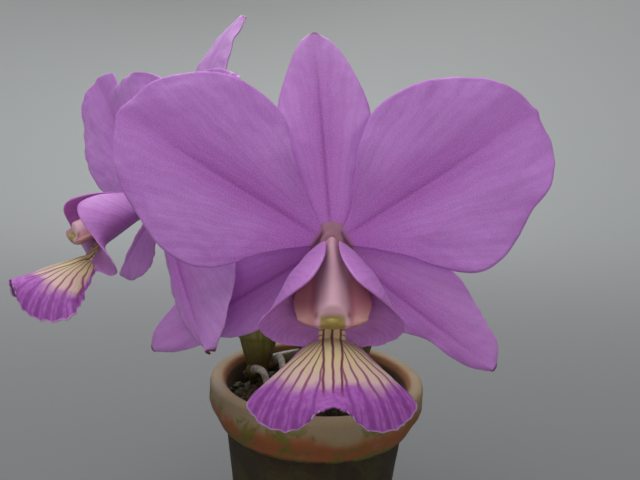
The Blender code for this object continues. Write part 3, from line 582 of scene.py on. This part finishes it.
# %% Colour the lip
reach = node("Math POWER", node("Math MULTIPLY", across, 0.8), 2.0)
reach = node("Math SQRT", node("Math MULTIPLY_ADD", along, along, reach))
reach = node("Math MULTIPLY_ADD", sway, 7.0, reach)
cream = overlap(node, node(RAMP, reach, 16.5, 13.0), node(RAMP, side, 0.95, 0.8), front)
cream = node("Math MAXIMUM", cream, tongue)
mottle = node("TexNoise", Vector=chart, Scale=CENTIMETRE / 1.25, Detail=5.0, Roughness=0.65)
bold = overlap(node, veins, node(RAMP, front, 0.0, 1.0, 0.08, 0.6))
purple = paint(
    node, node("MixRGB", node(RAMP, mottle, 0.3, 0.7), "9d4ba6", "b268bb"),
    (overlap(node, side_lobe, 0.6), "c28bcb"), (overlap(node, fine, 0.45), "7d2f8c"), (bold, "7b2c82"),
)
pale = node("MixRGB", node(RAMP, reach, 5.0, 16.0), "d6c596", "d0aeb0")
pale = node("MixRGB", overlap(node, veins, 0.85), pale, "86275f")
# Painted shade: the side lobes turn darker towards the midline, in the hollow under the column, but not on
# the tongue.
hollow_shade = overlap(node, node(RAMP, side, 0.75, 0.35), side_lobe, node("Math SUBTRACT", 1.0, tongue))
hem = overlap(node, node(RAMP, side, 0.78, 0.97), side_lobe)
rim = overlap(node, node(RAMP, side, 0.968, 0.994), front)
tint = paint(
    node, node("MixRGB", cream, purple, pale),
    (overlap(node, lines, 0.92), "761a48"), (overlap(node, hollow_shade, 0.25), "7a3566"),
    (overlap(node, hem, 0.35), "c98ad2"), (overlap(node, rim, 0.8), "d9aedd"),
)
dress(lip_skin, tint, node("Math MULTIPLY", node("Math ADD", veins, fine), -0.5), 0.4, 0.3)
print("lip tissue ready")

# %% Make the lips
for count, letter in enumerate(FLOWERS):
    piece = blade(lip_rule(flower_frame(letter), count * 4.7), (230, 90), 0.45)
    settle(piece, f"lip_{letter}_bloom", lip_skin, f"lip_{letter}")
print("lips done")

# %% [markdown]
# ## The column
# The column carries the orchid's pollen and stigma in one body. It is a waxy, winged club with a pale
# nose down its front, duller wings, and a small yellow-green beak at its tip. One pod makes the club,
# because its section is a single bell curve that grows towards the tip, and a second makes the beak.

# %% Column shape and material
COLUMN_BASE = Vector((0, -0.2, 0.4))
COLUMN_TIP = Vector((0, -21.0, -18.6))
COLUMN_HALF_WIDTH = 9.0
column_axis = (COLUMN_TIP - COLUMN_BASE).normalized()
column_front = column_axis.cross(Vector((1, 0, 0)))

# Thick waxy flesh shines more than a petal and lets less light in.
column_skin, node = new_material(
    "waxy_column_tissue", 0.38, 1.42,
    Subsurface_Weight=0.3, Subsurface_Radius=(1.0, 0.5, 0.5), Subsurface_Scale=1.5 * MM,
)
across, along, chart = flat_map(node)
aside = node("Math ABSOLUTE", across)
clouds = node("TexNoise", Vector=chart, Scale=CENTIMETRE / 3.33, Detail=3.0)
corners = overlap(node, node(RAMP, along, 21.0, 27.0), node(RAMP, aside, 3.5, 6.5))
below = overlap(node, node(RAMP, along, 26.2, 27.0), node(RAMP, aside, 3.4, 2.4))
# Painted shade: two dark brown spots beside the end of the nose stand for the shade in its small notches.
notch_shade = overlap(
    node, bell(node, node("Math SUBTRACT", aside, 3.7), 0.5),
    bell(node, node("Math SUBTRACT", along, 26.2), 0.6), 0.6,
)
tint = paint(
    node, node("MixRGB", node(RAMP, aside, 2.6, 4.8), "dcb0bf", "b06e7a"),
    (corners, "bd8a86"), (node(RAMP, along, 10.0, 0.0, 0.0, 0.5), "c796a6"), (below, "9a8543"),
    (notch_shade, "5c4424"), (overlap(node, clouds, 0.25), "a0606c"),
)
dress(column_skin, tint)


def column_rule(turn):
    length = (COLUMN_TIP - COLUMN_BASE).length

    def rule(along, angle, ring):
        end = min(1.0, ring * 2.6) ** 0.5
        half = (2.0 + (COLUMN_HALF_WIDTH - 2.0) * smooth_step(along / 0.78)) * end
        half *= 1 - 0.14 * smooth_step((along - 0.78) / 0.22)
        x = half * math.cos(angle)
        # The nose grows towards the tip and ends just short of it.
        nose = 3.9 * (0.45 + 0.55 * smooth_step(along / 0.6))
        nose *= 1 - 0.85 * smooth_step((along - 0.9) / 0.07)
        girth = 1.5 + 2.3 * smooth_step(along / 0.8)
        if math.sin(angle) > 0:
            rise = (0.9 + nose * math.exp(-(abs(x / girth) ** 2.6))) * math.sin(angle) ** 0.6 * end
            rise -= 0.35 * math.exp(-(((abs(x) - 4.6) / 0.9) ** 2)) * smooth_step((along - 0.4) / 0.3)
        else:
            rise = -1.3 * abs(math.sin(angle)) ** 0.8 * end
        rise += 1.6 * (x / COLUMN_HALF_WIDTH) ** 2 * smooth_step(along)
        place = COLUMN_BASE.lerp(COLUMN_TIP, along) + Vector((x, 0, 0)) + column_front * rise
        return turn @ place, (x, along * length)

    return rule


# %% Beak and base materials, and the columns
# The stigma is glossy with its own glue. The flower's base is plain tissue, browner than the petals.
beak_skin, node = new_material("stigma_wax", 0.3, 1.42, Subsurface_Weight=0.3, Subsurface_Scale=1.0 * MM)
spots = node("TexNoise", Vector=node("TexCoord", out="Object"), Scale=METRE / 1.11)
dress(beak_skin, node("MixRGB", spots, "877a36", "b8a258"))
base_skin, node = tissue("receptacle_tissue")
spots = node("TexNoise", Vector=node("TexCoord", out="Object"), Scale=METRE / 3.33)
dress(base_skin, node("MixRGB", spots, "8c5f66", "b07d98"))


def beak_rule(turn):
    middle = COLUMN_TIP - column_axis * 1.0 + column_front * 0.8

    def rule(along, angle, ring):
        reach = Vector((2.1 * ring * math.cos(angle), 0, 0)) + column_axis * (along - 0.5) * 2.0
        reach += column_front * 1.1 * ring * math.sin(angle)
        return turn @ (middle + reach), (angle, along)

    return rule


def base_rule(turn):
    """The short drum at the flower's centre that the sepals and petals grow from."""

    def rule(along, angle, ring):
        reach = (3.1 + 2.6 * smooth_step((along - 0.3) / 0.3)) * min(1.0, ring * 1.7) ** 0.4
        place = Vector((reach * math.cos(angle), -1.2 + 3.9 * along, reach * math.sin(angle)))
        return turn @ place, (angle, along)

    return rule


for letter in FLOWERS:
    turn = flower_frame(letter)
    settle(pod(column_rule(turn), 96, 72), f"column_{letter}_bloom", column_skin, f"column_{letter}")
    settle(pod(beak_rule(turn), 32, 20), f"beak_{letter}", beak_skin)
    settle(pod(base_rule(turn), 40, 20), f"flower_base_{letter}", base_skin)
print("columns done")

# %% [markdown]
# ## The clay pot
# The pot is thrown or pressed terracotta, fired without glaze, so it is matt and drinks water. Years of
# watering leave green algae in its pores and a pale bloom of salts near the rim. The body below the rim
# step is painted dark as painted shade under the rim, and so is the inner wall down to the mix. It is
# built like a real pot: a disc is raised ring by ring, turned in over the rim and back down inside.

# %% Raise the pot ring by ring
POT_HEIGHT, RIM_RADIUS, RIM_BAND, RIM_WALL = 70.0, 37.5, 15.6, 5.1
STEP_RADIUS, FOOT_RADIUS, FLOOR = 31.4, 25.4, 5.5
band = POT_HEIGHT - RIM_BAND


def wall_radius(height):
    """The radius of the pot's inner wall at this height."""
    low, middle, high = FOOT_RADIUS - 3.8, STEP_RADIUS - 3.2, RIM_RADIUS - RIM_WALL - 0.4
    if height < band:
        return low + (middle - low) * (height - FLOOR) / (band - FLOOR)
    return middle + (high - middle) * (height - band) / (POT_HEIGHT - 3.0 - band)


def raised_disc(sides, rings):
    """A disc raised through rings of (radius, height), left in edit mode with its last face selected."""
    bpy.ops.mesh.primitive_circle_add(vertices=sides, radius=rings[0][0] * MM, fill_type="NGON")
    bpy.ops.object.mode_set(mode="EDIT")
    bpy.ops.mesh.select_all(action="SELECT")
    for (last_radius, last_height), (radius, height) in zip(rings, rings[1:]):
        rise, share = (height - last_height) * MM, radius / last_radius
        bpy.ops.mesh.extrude_region_move(TRANSFORM_OT_translate={"value": (0, 0, rise)})
        bpy.ops.transform.resize(value=(share, share, 1), center_override=(0, 0, height * MM))
    return bpy.context.object


RINGS = [(FOOT_RADIUS - 1.0, 0), (FOOT_RADIUS - 0.3, 0.3), (FOOT_RADIUS, 1.0)]
for i in range(1, 13):
    RINGS.append((FOOT_RADIUS + (STEP_RADIUS - FOOT_RADIUS) * i / 12, 1.0 + (band - 1.6) * i / 12))
RINGS += [
    (STEP_RADIUS + 0.5, band - 0.45), (STEP_RADIUS + 1.8, band - 0.3), (STEP_RADIUS + 2.5, band + 0.5),
    (STEP_RADIUS + 3.2, band + 2.0), (RIM_RADIUS - 1.6, band + 4.6), (RIM_RADIUS - 0.5, band + 6.4),
    (RIM_RADIUS, band + 8.0), (RIM_RADIUS, band + 11.0), (RIM_RADIUS, POT_HEIGHT - 1.9),
    (RIM_RADIUS - 0.35, POT_HEIGHT - 0.8), (RIM_RADIUS - 1.2, POT_HEIGHT - 0.15),
    (RIM_RADIUS - 2.4, POT_HEIGHT), (RIM_RADIUS - RIM_WALL + 0.9, POT_HEIGHT - 0.3),
    (RIM_RADIUS - RIM_WALL, POT_HEIGHT - 1.2), (wall_radius(POT_HEIGHT - 4.0), POT_HEIGHT - 4.0),
    (wall_radius(band), band), (wall_radius(FLOOR + 3), FLOOR + 3), (wall_radius(FLOOR) - 2.0, FLOOR),
]
pot = raised_disc(128, RINGS)
turn_faces()
for point in pot.data.vertices:
    around = Vector((point.co.x, point.co.y, 0))
    if around.length > 5 * MM and point.co.z > 0.4 * MM:
        where = point.co / MM
        lump = noise.noise(where * 0.05) * 0.25 + noise.noise(where * 0.22) * 0.08
        point.co += around.normalized() * (lump - 0.12) * MM

# %% Drain holes
for i in range(3):
    angle = math.tau * i / 3 + math.pi / 6
    place = (14.0 * math.cos(angle) * MM, 14.0 * math.sin(angle) * MM, 0)
    bpy.ops.mesh.primitive_cylinder_add(vertices=40, radius=3.5 * MM, depth=30 * MM, location=place)
    drill = bpy.context.object
    cut = pot.modifiers.new("drain", "BOOLEAN")
    cut.object, cut.operation = drill, "DIFFERENCE"
    apply_modifiers(pot)
    bpy.data.objects.remove(drill)
print("pot has", len(pot.data.polygons), "faces")

# %% Terracotta
# Unglazed fired clay is matt and never one colour: water draws salts, algae and soil through its pores.
# Heights and radii here are in metres, and the noises' lumps are 24 mm, 10 mm and about 1 mm wide.
terracotta, node = new_material("weathered_terracotta", 0.88, 1.5)
where = node("TexCoord", out="Object")
x, y, height = (node("SeparateXYZ", where, out=i) for i in range(3))
broad = node("TexNoise", Vector=where, Scale=METRE / 23.81, Detail=5.0, Roughness=0.65)
patch = node("TexNoise", Vector=where, Scale=METRE / 10.526, Detail=6.0, Roughness=0.7, Distortion=0.6)
grit = node("TexNoise", Vector=where, Scale=METRE / 1.111, Detail=3.0)
stretched = node("Mapping", Vector=where, Scale=(70.0, 70.0, 14.0))
streak = node("TexNoise", Vector=stretched, Scale=1.0, Detail=4.0)

# Painted shade: the whole body below the rim step is painted near black in streaks, for the shade under the
# rim.
rim_shade = overlap(node, node(RAMP, height, 0.0560, 0.0545), node(RAMP, streak, 0.3, 0.6, 0.8, 1.0))
salt = node("Math ADD", height, node("Math MULTIPLY_ADD", streak, 0.016, -0.008))
lime = overlap(node, node(RAMP, broad, 0.54, 0.66), node(RAMP, height, 0.0550, 0.0575, 0.0, 0.6))
algae = overlap(node, node(RAMP, patch, 0.49, 0.57), node(RAMP, height, 0.0695, 0.0640, 0.0, 0.8))
span = node("Math SQRT", node("Math MULTIPLY_ADD", y, y, node("Math POWER", x, 2.0)))
inner = node(RAMP, span, 0.0338, 0.0325)
lining = overlap(node, inner, node(RAMP, height, 0.060, 0.066, 0.0, 0.8))
# Painted shade and damp: inside the pot the wall below 66 mm is painted near black, for the shade down
# inside the rim over the damp wall.
wall_damp_and_shade = overlap(node, inner, node(RAMP, height, 0.0682, 0.0662, 0.0, 0.85))

# The near black colours of that painted shade under the rim.
below = node("MixRGB", node(RAMP, patch, 0.4, 0.6), "33240f", "58421f")
below = node("MixRGB", node(RAMP, broad, 0.55, 0.7, 0.0, 0.6), below, "20200f")
clay = paint(
    node, node("MixRGB", broad, "7d4322", "a05c32"),
    (node(RAMP, patch, 0.5, 0.62, 0.0, 0.45), "8e3a1a"),
    (rim_shade, below),
    (node(RAMP, salt, 0.0620, 0.0665, 0.0, 0.85), node("MixRGB", broad, "7d7350", "a3937b")),
    (lime, "8d8378"),
    (algae, node("MixRGB", grit, "414c14", "6b7426")),
    (lining, node("MixRGB", patch, "5a3216", "a5602c")),
    (wall_damp_and_shade, node("MixRGB", patch, "1d140b", "3b3018")),
)
dress(terracotta, clay, node("Math MULTIPLY_ADD", grit, 0.5, node("Math MULTIPLY", patch, 0.8)), 0.5, 0.6)
settle(pot, "clay_pot", terracotta, "pot")
print("pot done")

# %% [markdown]
# ## The bark mix
# Orchids grow in chunks of bark with air between them. The mix is heaped towards the middle, dark with
# damp, with paler broken faces, loose fibres and specks of moss. A dark bed fills the pot, and a few
# chip shapes, broken from subdivided cubes, are copied all over it with their own size and turn.

# %% The bed under the chips
MIX_EDGE, MIX_CROWN = 61.0, 8.0


def mix_height(x, y):
    share = min(1.0, math.hypot(x, y) / wall_radius(MIX_EDGE))
    return MIX_EDGE + MIX_CROWN * (1 - share**3)


def bed_rule(along, angle, ring):
    x, y = ring * math.cos(angle), ring * math.sin(angle)
    if along < 0.5:
        radius = wall_radius(MIX_EDGE) - 0.5
        x, y = x * radius, y * radius
        rough = noise.noise(Vector((x, y, 0)) * 0.35) * 1.1 + noise.noise(Vector((x, y, 5)) * 0.9) * 0.6
        z = mix_height(x, y) - 1.2 + rough * (1 - ring**8)
    else:
        radius = wall_radius(FLOOR + 2) - 0.5 - 2.0 * (along - 0.5)
        x, y, z = x * radius, y * radius, FLOOR + 0.6
    return Vector((x, y, z)), (x, y)


# Damp bark and fibre: nearly black where it is wet, with pale broken ends and green specks of moss.
bark, node = new_material("damp_bark", 0.8, 1.45)
where = node("TexCoord", out="Object")
lump = node("TexNoise", Vector=where, Scale=METRE / 6.25, Detail=5.0, Roughness=0.7)
grain = node("TexNoise", Vector=where, Scale=METRE / 1.3333, Detail=4.0, Roughness=0.7)
tint = paint(
    node, node("MixRGB", node(RAMP, lump, 0.35, 0.7), "140e08", "40301a"),
    (node(RAMP, grain, 0.58, 0.72, 0.0, 0.75), "a98f5e"), (node(RAMP, lump, 0.56, 0.66, 0.0, 0.6), "57612a"),
)
dress(bark, tint, grain, 0.9, 0.8)
settle(pod(bed_rule, 120, 80), "bark_bed", bark, "potting_mix")

# %% Where the plant stands in the mix
PSEUDOBULBS = [
    ((-21.0, 5.5), (-23.5, 11.0, 104.0), 6.6),
    ((-3.0, 14.0), (-1.0, 18.0, 108.0), 6.4),
    ((13.0, 12.0), (16.0, 16.0, 96.0), 5.6),
]
STEM_FOOT = (5.0, 3.0)


def rhizome_line(count):
    line = [Vector((x, y, 0)) for (x, y), _, _ in PSEUDOBULBS]
    line.insert(0, line[0] + Vector((-2.0, -6.0, 0)))
    line.append(Vector((STEM_FOOT[0], STEM_FOOT[1], 0)))
    line.append(line[-1] + Vector((-2.0, -6.0, 0)))
    return [along_curve(line, i / count) for i in range(count + 1)]


# %% Break the chips and scatter them
draw = random.Random(4)
chip_shapes = []
for kind in range(6):
    bpy.ops.mesh.primitive_cube_add(size=1)
    chip = bpy.context.object
    bpy.ops.object.mode_set(mode="EDIT")
    bpy.ops.mesh.select_all(action="SELECT")
    bpy.ops.mesh.subdivide(number_cuts=2)
    bpy.ops.object.mode_set(mode="OBJECT")
    for point in chip.data.vertices:
        point.co = Vector((point.co.x * 1.5, point.co.y * 0.9, point.co.z * 0.5))
        point.co += noise.noise_vector(point.co * 1.8 + Vector((kind * 5, 0, 0))) * 0.22
    chip_shapes.append(chip)

standing = [(x, y, 5.4) for (x, y), _, _ in PSEUDOBULBS] + [(p.x, p.y, 3.2) for p in rhizome_line(16)]
chips = []
for i in range(520):
    reach = math.sqrt(draw.random()) * (wall_radius(MIX_EDGE) - 1.4)
    angle = draw.uniform(0, math.tau)
    x, y = reach * math.cos(angle), reach * math.sin(angle)
    size = draw.uniform(1.4, 4.2)
    if any(math.hypot(x - px, y - py) < room + size * 0.5 for px, py, room in standing):
        continue
    copy = draw.choice(chip_shapes).copy()
    copy.data = copy.data.copy()
    tilt = [draw.uniform(-0.9, 0.9) for _ in "xy"]
    turn = Euler((*tilt, draw.uniform(0, math.tau))).to_matrix().to_4x4()
    heap = 1.8 * (reach / wall_radius(MIX_EDGE)) ** 4
    lift = Vector((x, y, mix_height(x, y) + heap + draw.uniform(-1.2, 0.5)))
    copy.data.transform(Matrix.Translation(lift * MM) @ turn @ Matrix.Scale(size * MM, 4))
    bpy.context.collection.objects.link(copy)
    chips.append(copy)
for chip in chip_shapes:
    bpy.data.objects.remove(chip)
bpy.ops.object.select_all(action="DESELECT")
for chip in chips:
    chip.select_set(True)
bpy.context.view_layer.objects.active = chips[0]
bpy.ops.object.join()

# Broken bark is layered, so its grain is squeezed to a third of its height.
chip_bark, node = new_material("broken_bark", 0.85, 1.45)
where = node("TexCoord", out="Object")
lump = node("TexNoise", Vector=where, Scale=METRE / 4.762, Detail=4.0, Roughness=0.65)
layers = node("Mapping", Vector=where, Scale=(1.0, 1.0, 3.0))
grain = node("TexNoise", Vector=layers, Scale=METRE / 1.923, Detail=5.0, Roughness=0.75)
moss = node(RAMP, node("Math SUBTRACT", 1.0, lump), 0.52, 0.62, 0.0, 0.5)
tint = paint(
    node, node("MixRGB", node(RAMP, lump, 0.40, 0.68), "17100a", "54401f"),
    (node(RAMP, grain, 0.60, 0.74, 0.0, 0.8), "a08a58"), (moss, "4f5a24"),
)
dress(chip_bark, tint, grain, 0.8, 0.6)
scattered = settle(bpy.context.object, "bark_chips", chip_bark)
print("mix has", len(chips), "chips and", len(scattered.data.polygons), "faces")

# %% [markdown]
# ## Pseudobulbs, rhizome and roots
# A cattleya creeps: a woody rhizome crosses the pot and every year sends up a pseudobulb, a swollen
# ribbed stem that stores water. Roots leave the rhizome and dive into the mix, each wrapped in a silvery
# spongy coat. Old papery sheaths still cling round the bulbs' feet.

# %% Plant skins
# A pseudobulb has a waxy green skin, browner with old sheaths near its foot.
bulb_skin, node = new_material(
    "pseudobulb_skin", 0.42, 1.42, Subsurface_Weight=0.1, Subsurface_Scale=2.0 * MM
)
where = node("TexCoord", out="Object")
height = node("SeparateXYZ", where, out=2)
cloud = node("TexNoise", Vector=where, Scale=METRE / 8.333, Detail=4.0)
speck = node("TexNoise", Vector=where, Scale=METRE / 1.4286, Detail=2.0)
tint = paint(
    node, node("MixRGB", cloud, "5f5e1e", "8a8a34"),
    (node(RAMP, speck, 0.6, 0.7, 0.0, 0.5), "4a3a1c"),
    (node(RAMP, height, 0.090, 0.072, 0.0, 0.85), "43351d"),
)
dress(bulb_skin, tint, cloud, 0.4, 0.5)

# The roots' dead outer coat is full of air, which makes it matt and silvery.
root_skin, node = new_material("velamen_root_coat", 0.85, 1.4)
where = node("TexCoord", out="Object")
cloud = node("TexNoise", Vector=where, Scale=METRE / 3.846, Detail=5.0, Roughness=0.7)
dress(root_skin, node("MixRGB", node(RAMP, cloud, 0.3, 0.7), "6f6655", "b9b4a4"), cloud)

# %% Pseudobulbs with their ribs
BULB_FOOT_RADIUS, BULB_SINK = 4.2, 4.5


def bulb_rule(index):
    (x, y), top, radius = PSEUDOBULBS[index]
    foot, top = Vector((x, y, mix_height(x, y) - BULB_SINK)), Vector(top)
    axis = (top - foot).normalized()
    side = axis.orthogonal().normalized()
    other = axis.cross(side)

    def rule(along, angle, ring):
        swell = math.sin(math.pi * smooth_step(along * 0.94 + 0.03)) ** 1.2
        girth = BULB_FOOT_RADIUS * 0.8 + (radius - BULB_FOOT_RADIUS * 0.8) * swell
        rib = 1 + (0.05 * math.cos(9 * angle) + 0.03 * math.cos(14 * angle + 9 * along)) * swell
        knots = ((0.45, 0.06), (0.78, 0.05))
        knot = 1 + sum(size * math.exp(-(((along - joint) / 0.012) ** 2)) for joint, size in knots)
        reach = girth * rib * knot * min(1.0, ring * 1.8) ** 0.5
        round_it = side * math.cos(angle) + other * math.sin(angle)
        return foot.lerp(top, along) + round_it * reach, (angle, along)

    return rule


for i in range(len(PSEUDOBULBS)):
    solid = None if i else "rhizome_and_pseudobulbs"
    settle(pod(bulb_rule(i), 72, 90), f"pseudobulb_{i + 1}", bulb_skin, solid)
creeping = [Vector((p.x, p.y, mix_height(p.x, p.y) + 3.6)) for p in rhizome_line(18)]
settle(pod(stalk_rule(creeping, [2.6] * 19), 24, 120), "rhizome", bulb_skin)

# %% Roots
# Each root is given by places on the mix and heights over it. It leaves the rhizome, arches and dives in.
ROOTS = [
    [(-15.5, 8.5), (-14.0, 2.5), (-12.5, -3.5), (-11.6, -8.5), (-11.3, -11.0), (-11.3, -11.2)],
    [(-22.5, 1.5), (-21.5, -4.0), (-18.5, -9.0), (-16.8, -12.5), (-16.3, -13.8), (-16.3, -14.0)],
    [(8.0, 8.5), (12.5, 3.5), (15.5, -2.5), (16.8, -7.0), (17.2, -8.8), (17.2, -9.0)],
]
ROOT_LIFTS = [3.6, 6.5, 7.0, 5.0, 1.0, -3.5]
for i, root in enumerate(ROOTS):
    path = [Vector((x, y, mix_height(x, y) + lift)) for (x, y), lift in zip(root, ROOT_LIFTS)]
    settle(pod(stalk_rule(path, [1.35, 1.3, 1.2, 1.1, 1.0, 0.8]), 20, 60), f"root_{i + 1}", root_skin)
print("bulbs and roots done")

# %% [markdown]
# ## Leaves and the flower stem
# The leaves are thick and leathery, with a deep fold along the midrib and a waxy shine. The flowers hide
# them from the front. The stem is smooth and pale green, and swells a little behind each flower, where
# the ovary is.

# %% Leaf and stem skins
# A thick wax coat makes the leaves shine. Their veins run lengthwise, and the midrib's groove is paler.
leaf_skin, node = new_material(
    "waxy_leaf_skin", 0.36, 1.45, Subsurface_Weight=0.08, Subsurface_Scale=1.0 * MM
)
across, along, chart = flat_map(node)
cloud = node("TexNoise", Vector=chart, Scale=CENTIMETRE / 4.0, Detail=5.0, Roughness=0.6)
stripe = node("Math SINE", node("Math MULTIPLY", across, 5.2))
midrib = node(RAMP, node("Math ABSOLUTE", across), 0.9, 0.2, 0.0, 0.6)
tint = paint(
    node, node("MixRGB", cloud, "2f4a1a", "5d7a33"),
    (node(RAMP, stripe, 0.2, 1.0, 0.0, 0.2), "7d9350"), (midrib, "8a9c58"),
)
dress(leaf_skin, tint, node("Math ADD", stripe, cloud), 0.15, 0.3)

stem_skin, node = new_material(
    "flower_stem_skin", 0.42, 1.42, Subsurface_Weight=0.15, Subsurface_Scale=1.0 * MM
)
cloud = node("TexNoise", Vector=node("TexCoord", out="Object"), Scale=METRE / 5.556, Detail=4.0)
dress(stem_skin, node("MixRGB", cloud, "7d7a45", "a8a56a"))

# %% Leaves
LEAVES = [
    (0, 172.0, 62.0, 56.0, 13.5),
    (0, -16.0, 76.0, 54.0, 13.0),
    (1, 106.0, 60.0, 56.0, 13.5),
    (1, -30.0, 58.0, 60.0, 14.0),
]


def leaf_rule(index):
    bulb, bearing, rise, length, half = LEAVES[index]
    top = Vector(PSEUDOBULBS[bulb][1])
    heading = math.radians(bearing)
    level = Vector((math.cos(heading), math.sin(heading), 0))
    sideways = Vector((-math.sin(heading), math.cos(heading), 0))

    def rule(along, across):
        share = (1 - math.cos(math.pi * along)) / 2
        swell = math.sin(math.pi * share)
        spread = math.hypot(half * swell, 1.6 - 0.8 * share) * across
        pitch = math.radians(rise - 26.0 * share)
        upper = Vector((0, 0, math.cos(pitch))) - level * math.sin(pitch)
        start = top + level * 1.6 + Vector((0, 0, 0.05))
        mean = math.radians(rise - 13.0 * share)
        run = level * math.cos(mean) + Vector((0, 0, math.sin(mean)))
        keel = 0.34 * abs(spread) * (1 - 0.55 * share)
        place = start + run * (length * share) + sideways * (spread * 0.94) + upper * keel
        return place, (spread, length * share)

    return rule


for i in range(len(LEAVES)):
    settle(blade(leaf_rule(i), (60, 32), 1.3), f"leaf_{i + 1}_blade", leaf_skin, f"leaf_{i + 1}")

# %% Flower stem, fork and ovaries
STEM_FORK = Vector((-4.0, -6.0, 106.0))
x, y = STEM_FOOT
foot = Vector((x, y, mix_height(x, y) + 7.1))
low = foot.lerp(STEM_FORK, 0.35) + Vector((1.5, 1.0, 0))
high = foot.lerp(STEM_FORK, 0.7) + Vector((1.0, 1.0, 0))
stalk = pod(stalk_rule([foot, low, high, STEM_FORK], [2.3, 2.1, 1.95, 1.9]), 28, 70)
settle(stalk, "flower_stem_trunk", stem_skin, "flower_stem")
for letter in FLOWERS:
    turn = flower_frame(letter)
    seat, behind = turn @ Vector((0, 2.7, 0)), turn @ Vector((0, 16.7, 0))
    inner = STEM_FORK.lerp(behind, 0.45) + Vector((0, 0, 3.0))
    line = [STEM_FORK - Vector((0, 0, 1.5)), inner, behind, seat]
    settle(pod(stalk_rule(line, [1.7, 1.75, 2.3, 2.5]), 28, 80), f"ovary_{letter}", stem_skin)
print("leaves and stem done")

# %% [markdown]
# ## Studio and camera
# The pot stands on a grey sweep: a floor that curves up into a wall all round, so every view has a
# quiet grey behind it. Its grey is painted shade and light, darker near the pot and paler further out.
# One wide soft light hangs above in front, a weak one fills from low in front, and two more light the
# petals' edges and the wall from behind. The camera stands close to the flower, a little above it, and
# looks slightly down.

# %% Sweep
FLOOR_RADIUS, COVE_RADIUS, WALL_STEP = 700.0, 500.0, 500.0
sweep_shaded_paint, node = new_material("grey_sweep_painted_shade", 0.95, 1.45)
# Painted shade and light: the paint runs from dark grey near the pot to pale grey further out and up the
# wall.
distance = node("VectorMath LENGTH", node("TexCoord", out="Object"), out=1)
dress(sweep_shaded_paint, node("MixRGB", node(RAMP, distance, 0.1, 1.3), "6e6f6f", "999b9a"))
rings = [(FLOOR_RADIUS, 0.0)]
for i in range(1, 15):
    turn = math.pi / 2 * min(i, 12) / 12
    height = COVE_RADIUS * (1 - math.cos(turn)) + WALL_STEP * max(0, i - 12)
    rings.append((FLOOR_RADIUS + COVE_RADIUS * math.sin(turn), height))
sweep = raised_disc(96, rings)
sweep.name = "studio_sweep"
bpy.ops.mesh.delete(type="FACE")
turn_faces(inside=True)
for face in sweep.data.polygons:
    face.use_smooth = True
sweep.data.materials.append(sweep_shaded_paint)
sweep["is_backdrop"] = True


# %% Lights
def soft_light(name, place, target, size, power, tint):
    bpy.ops.object.light_add(type="AREA", location=place)
    lamp = bpy.context.object
    lamp.name = name
    lamp.data.size, lamp.data.energy, lamp.data.color = size, power, colour(tint)[:3]
    lamp.rotation_euler = (Vector(target) - Vector(place)).to_track_quat("-Z", "Y").to_euler()


middle = (0, 0, 0.11)
soft_light("window_light", (-0.35, -0.35, 1.0), middle, 0.9, 4.6, "fdfdff")
soft_light("room_light", (0.15, -0.85, 0.05), middle, 0.8, 3.4, "fffaf6")
soft_light("back_light", (-0.15, 0.7, 0.85), middle, 0.6, 7.0, "fbfbff")
soft_light("wall_light", (0.05, 0.6, 0.95), (0.05, 1.2, 0.42), 0.4, 3.5, "ffffff")
world = bpy.data.worlds.new("studio_air")
bpy.context.scene.world = world
world.use_nodes = True
air = world.node_tree.nodes["Background"]
air.inputs["Color"].default_value = colour("c9cccd")
air.inputs["Strength"].default_value = 1.2
bpy.context.scene.view_settings.view_transform = "Standard"

# %% Camera
# A lens as long as its sensor is wide, the view of a 36 mm camera lens.
CAMERA_PLACE = Vector((-1.25, -214.9, 156.0)) * MM
pitch, roll = math.radians(10.0), math.radians(2.8)
ahead = Vector((0, math.cos(pitch), -math.sin(pitch)))
right, up = Vector((1, 0, 0)), Vector((0, math.sin(pitch), math.cos(pitch)))
right, up = right * math.cos(roll) + up * math.sin(roll), up * math.cos(roll) - right * math.sin(roll)
bpy.ops.object.camera_add()
camera = bpy.context.object
camera.matrix_world = Matrix.Translation(CAMERA_PLACE) @ Matrix((right, up, -ahead)).transposed().to_4x4()
camera.data.sensor_width = camera.data.lens = 36.0
camera.data.clip_start = 0.01
bpy.context.scene.camera = camera

# %% Measure the boxes, print them and finish
visual_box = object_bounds()
boxes = {"cad": [list(corner) for corner in cad_box], "visual": [list(corner) for corner in visual_box]}
for name, (low, high) in boxes.items():
    print(name, [round(1000 * c, 1) for c in low], [round(1000 * c, 1) for c in high])
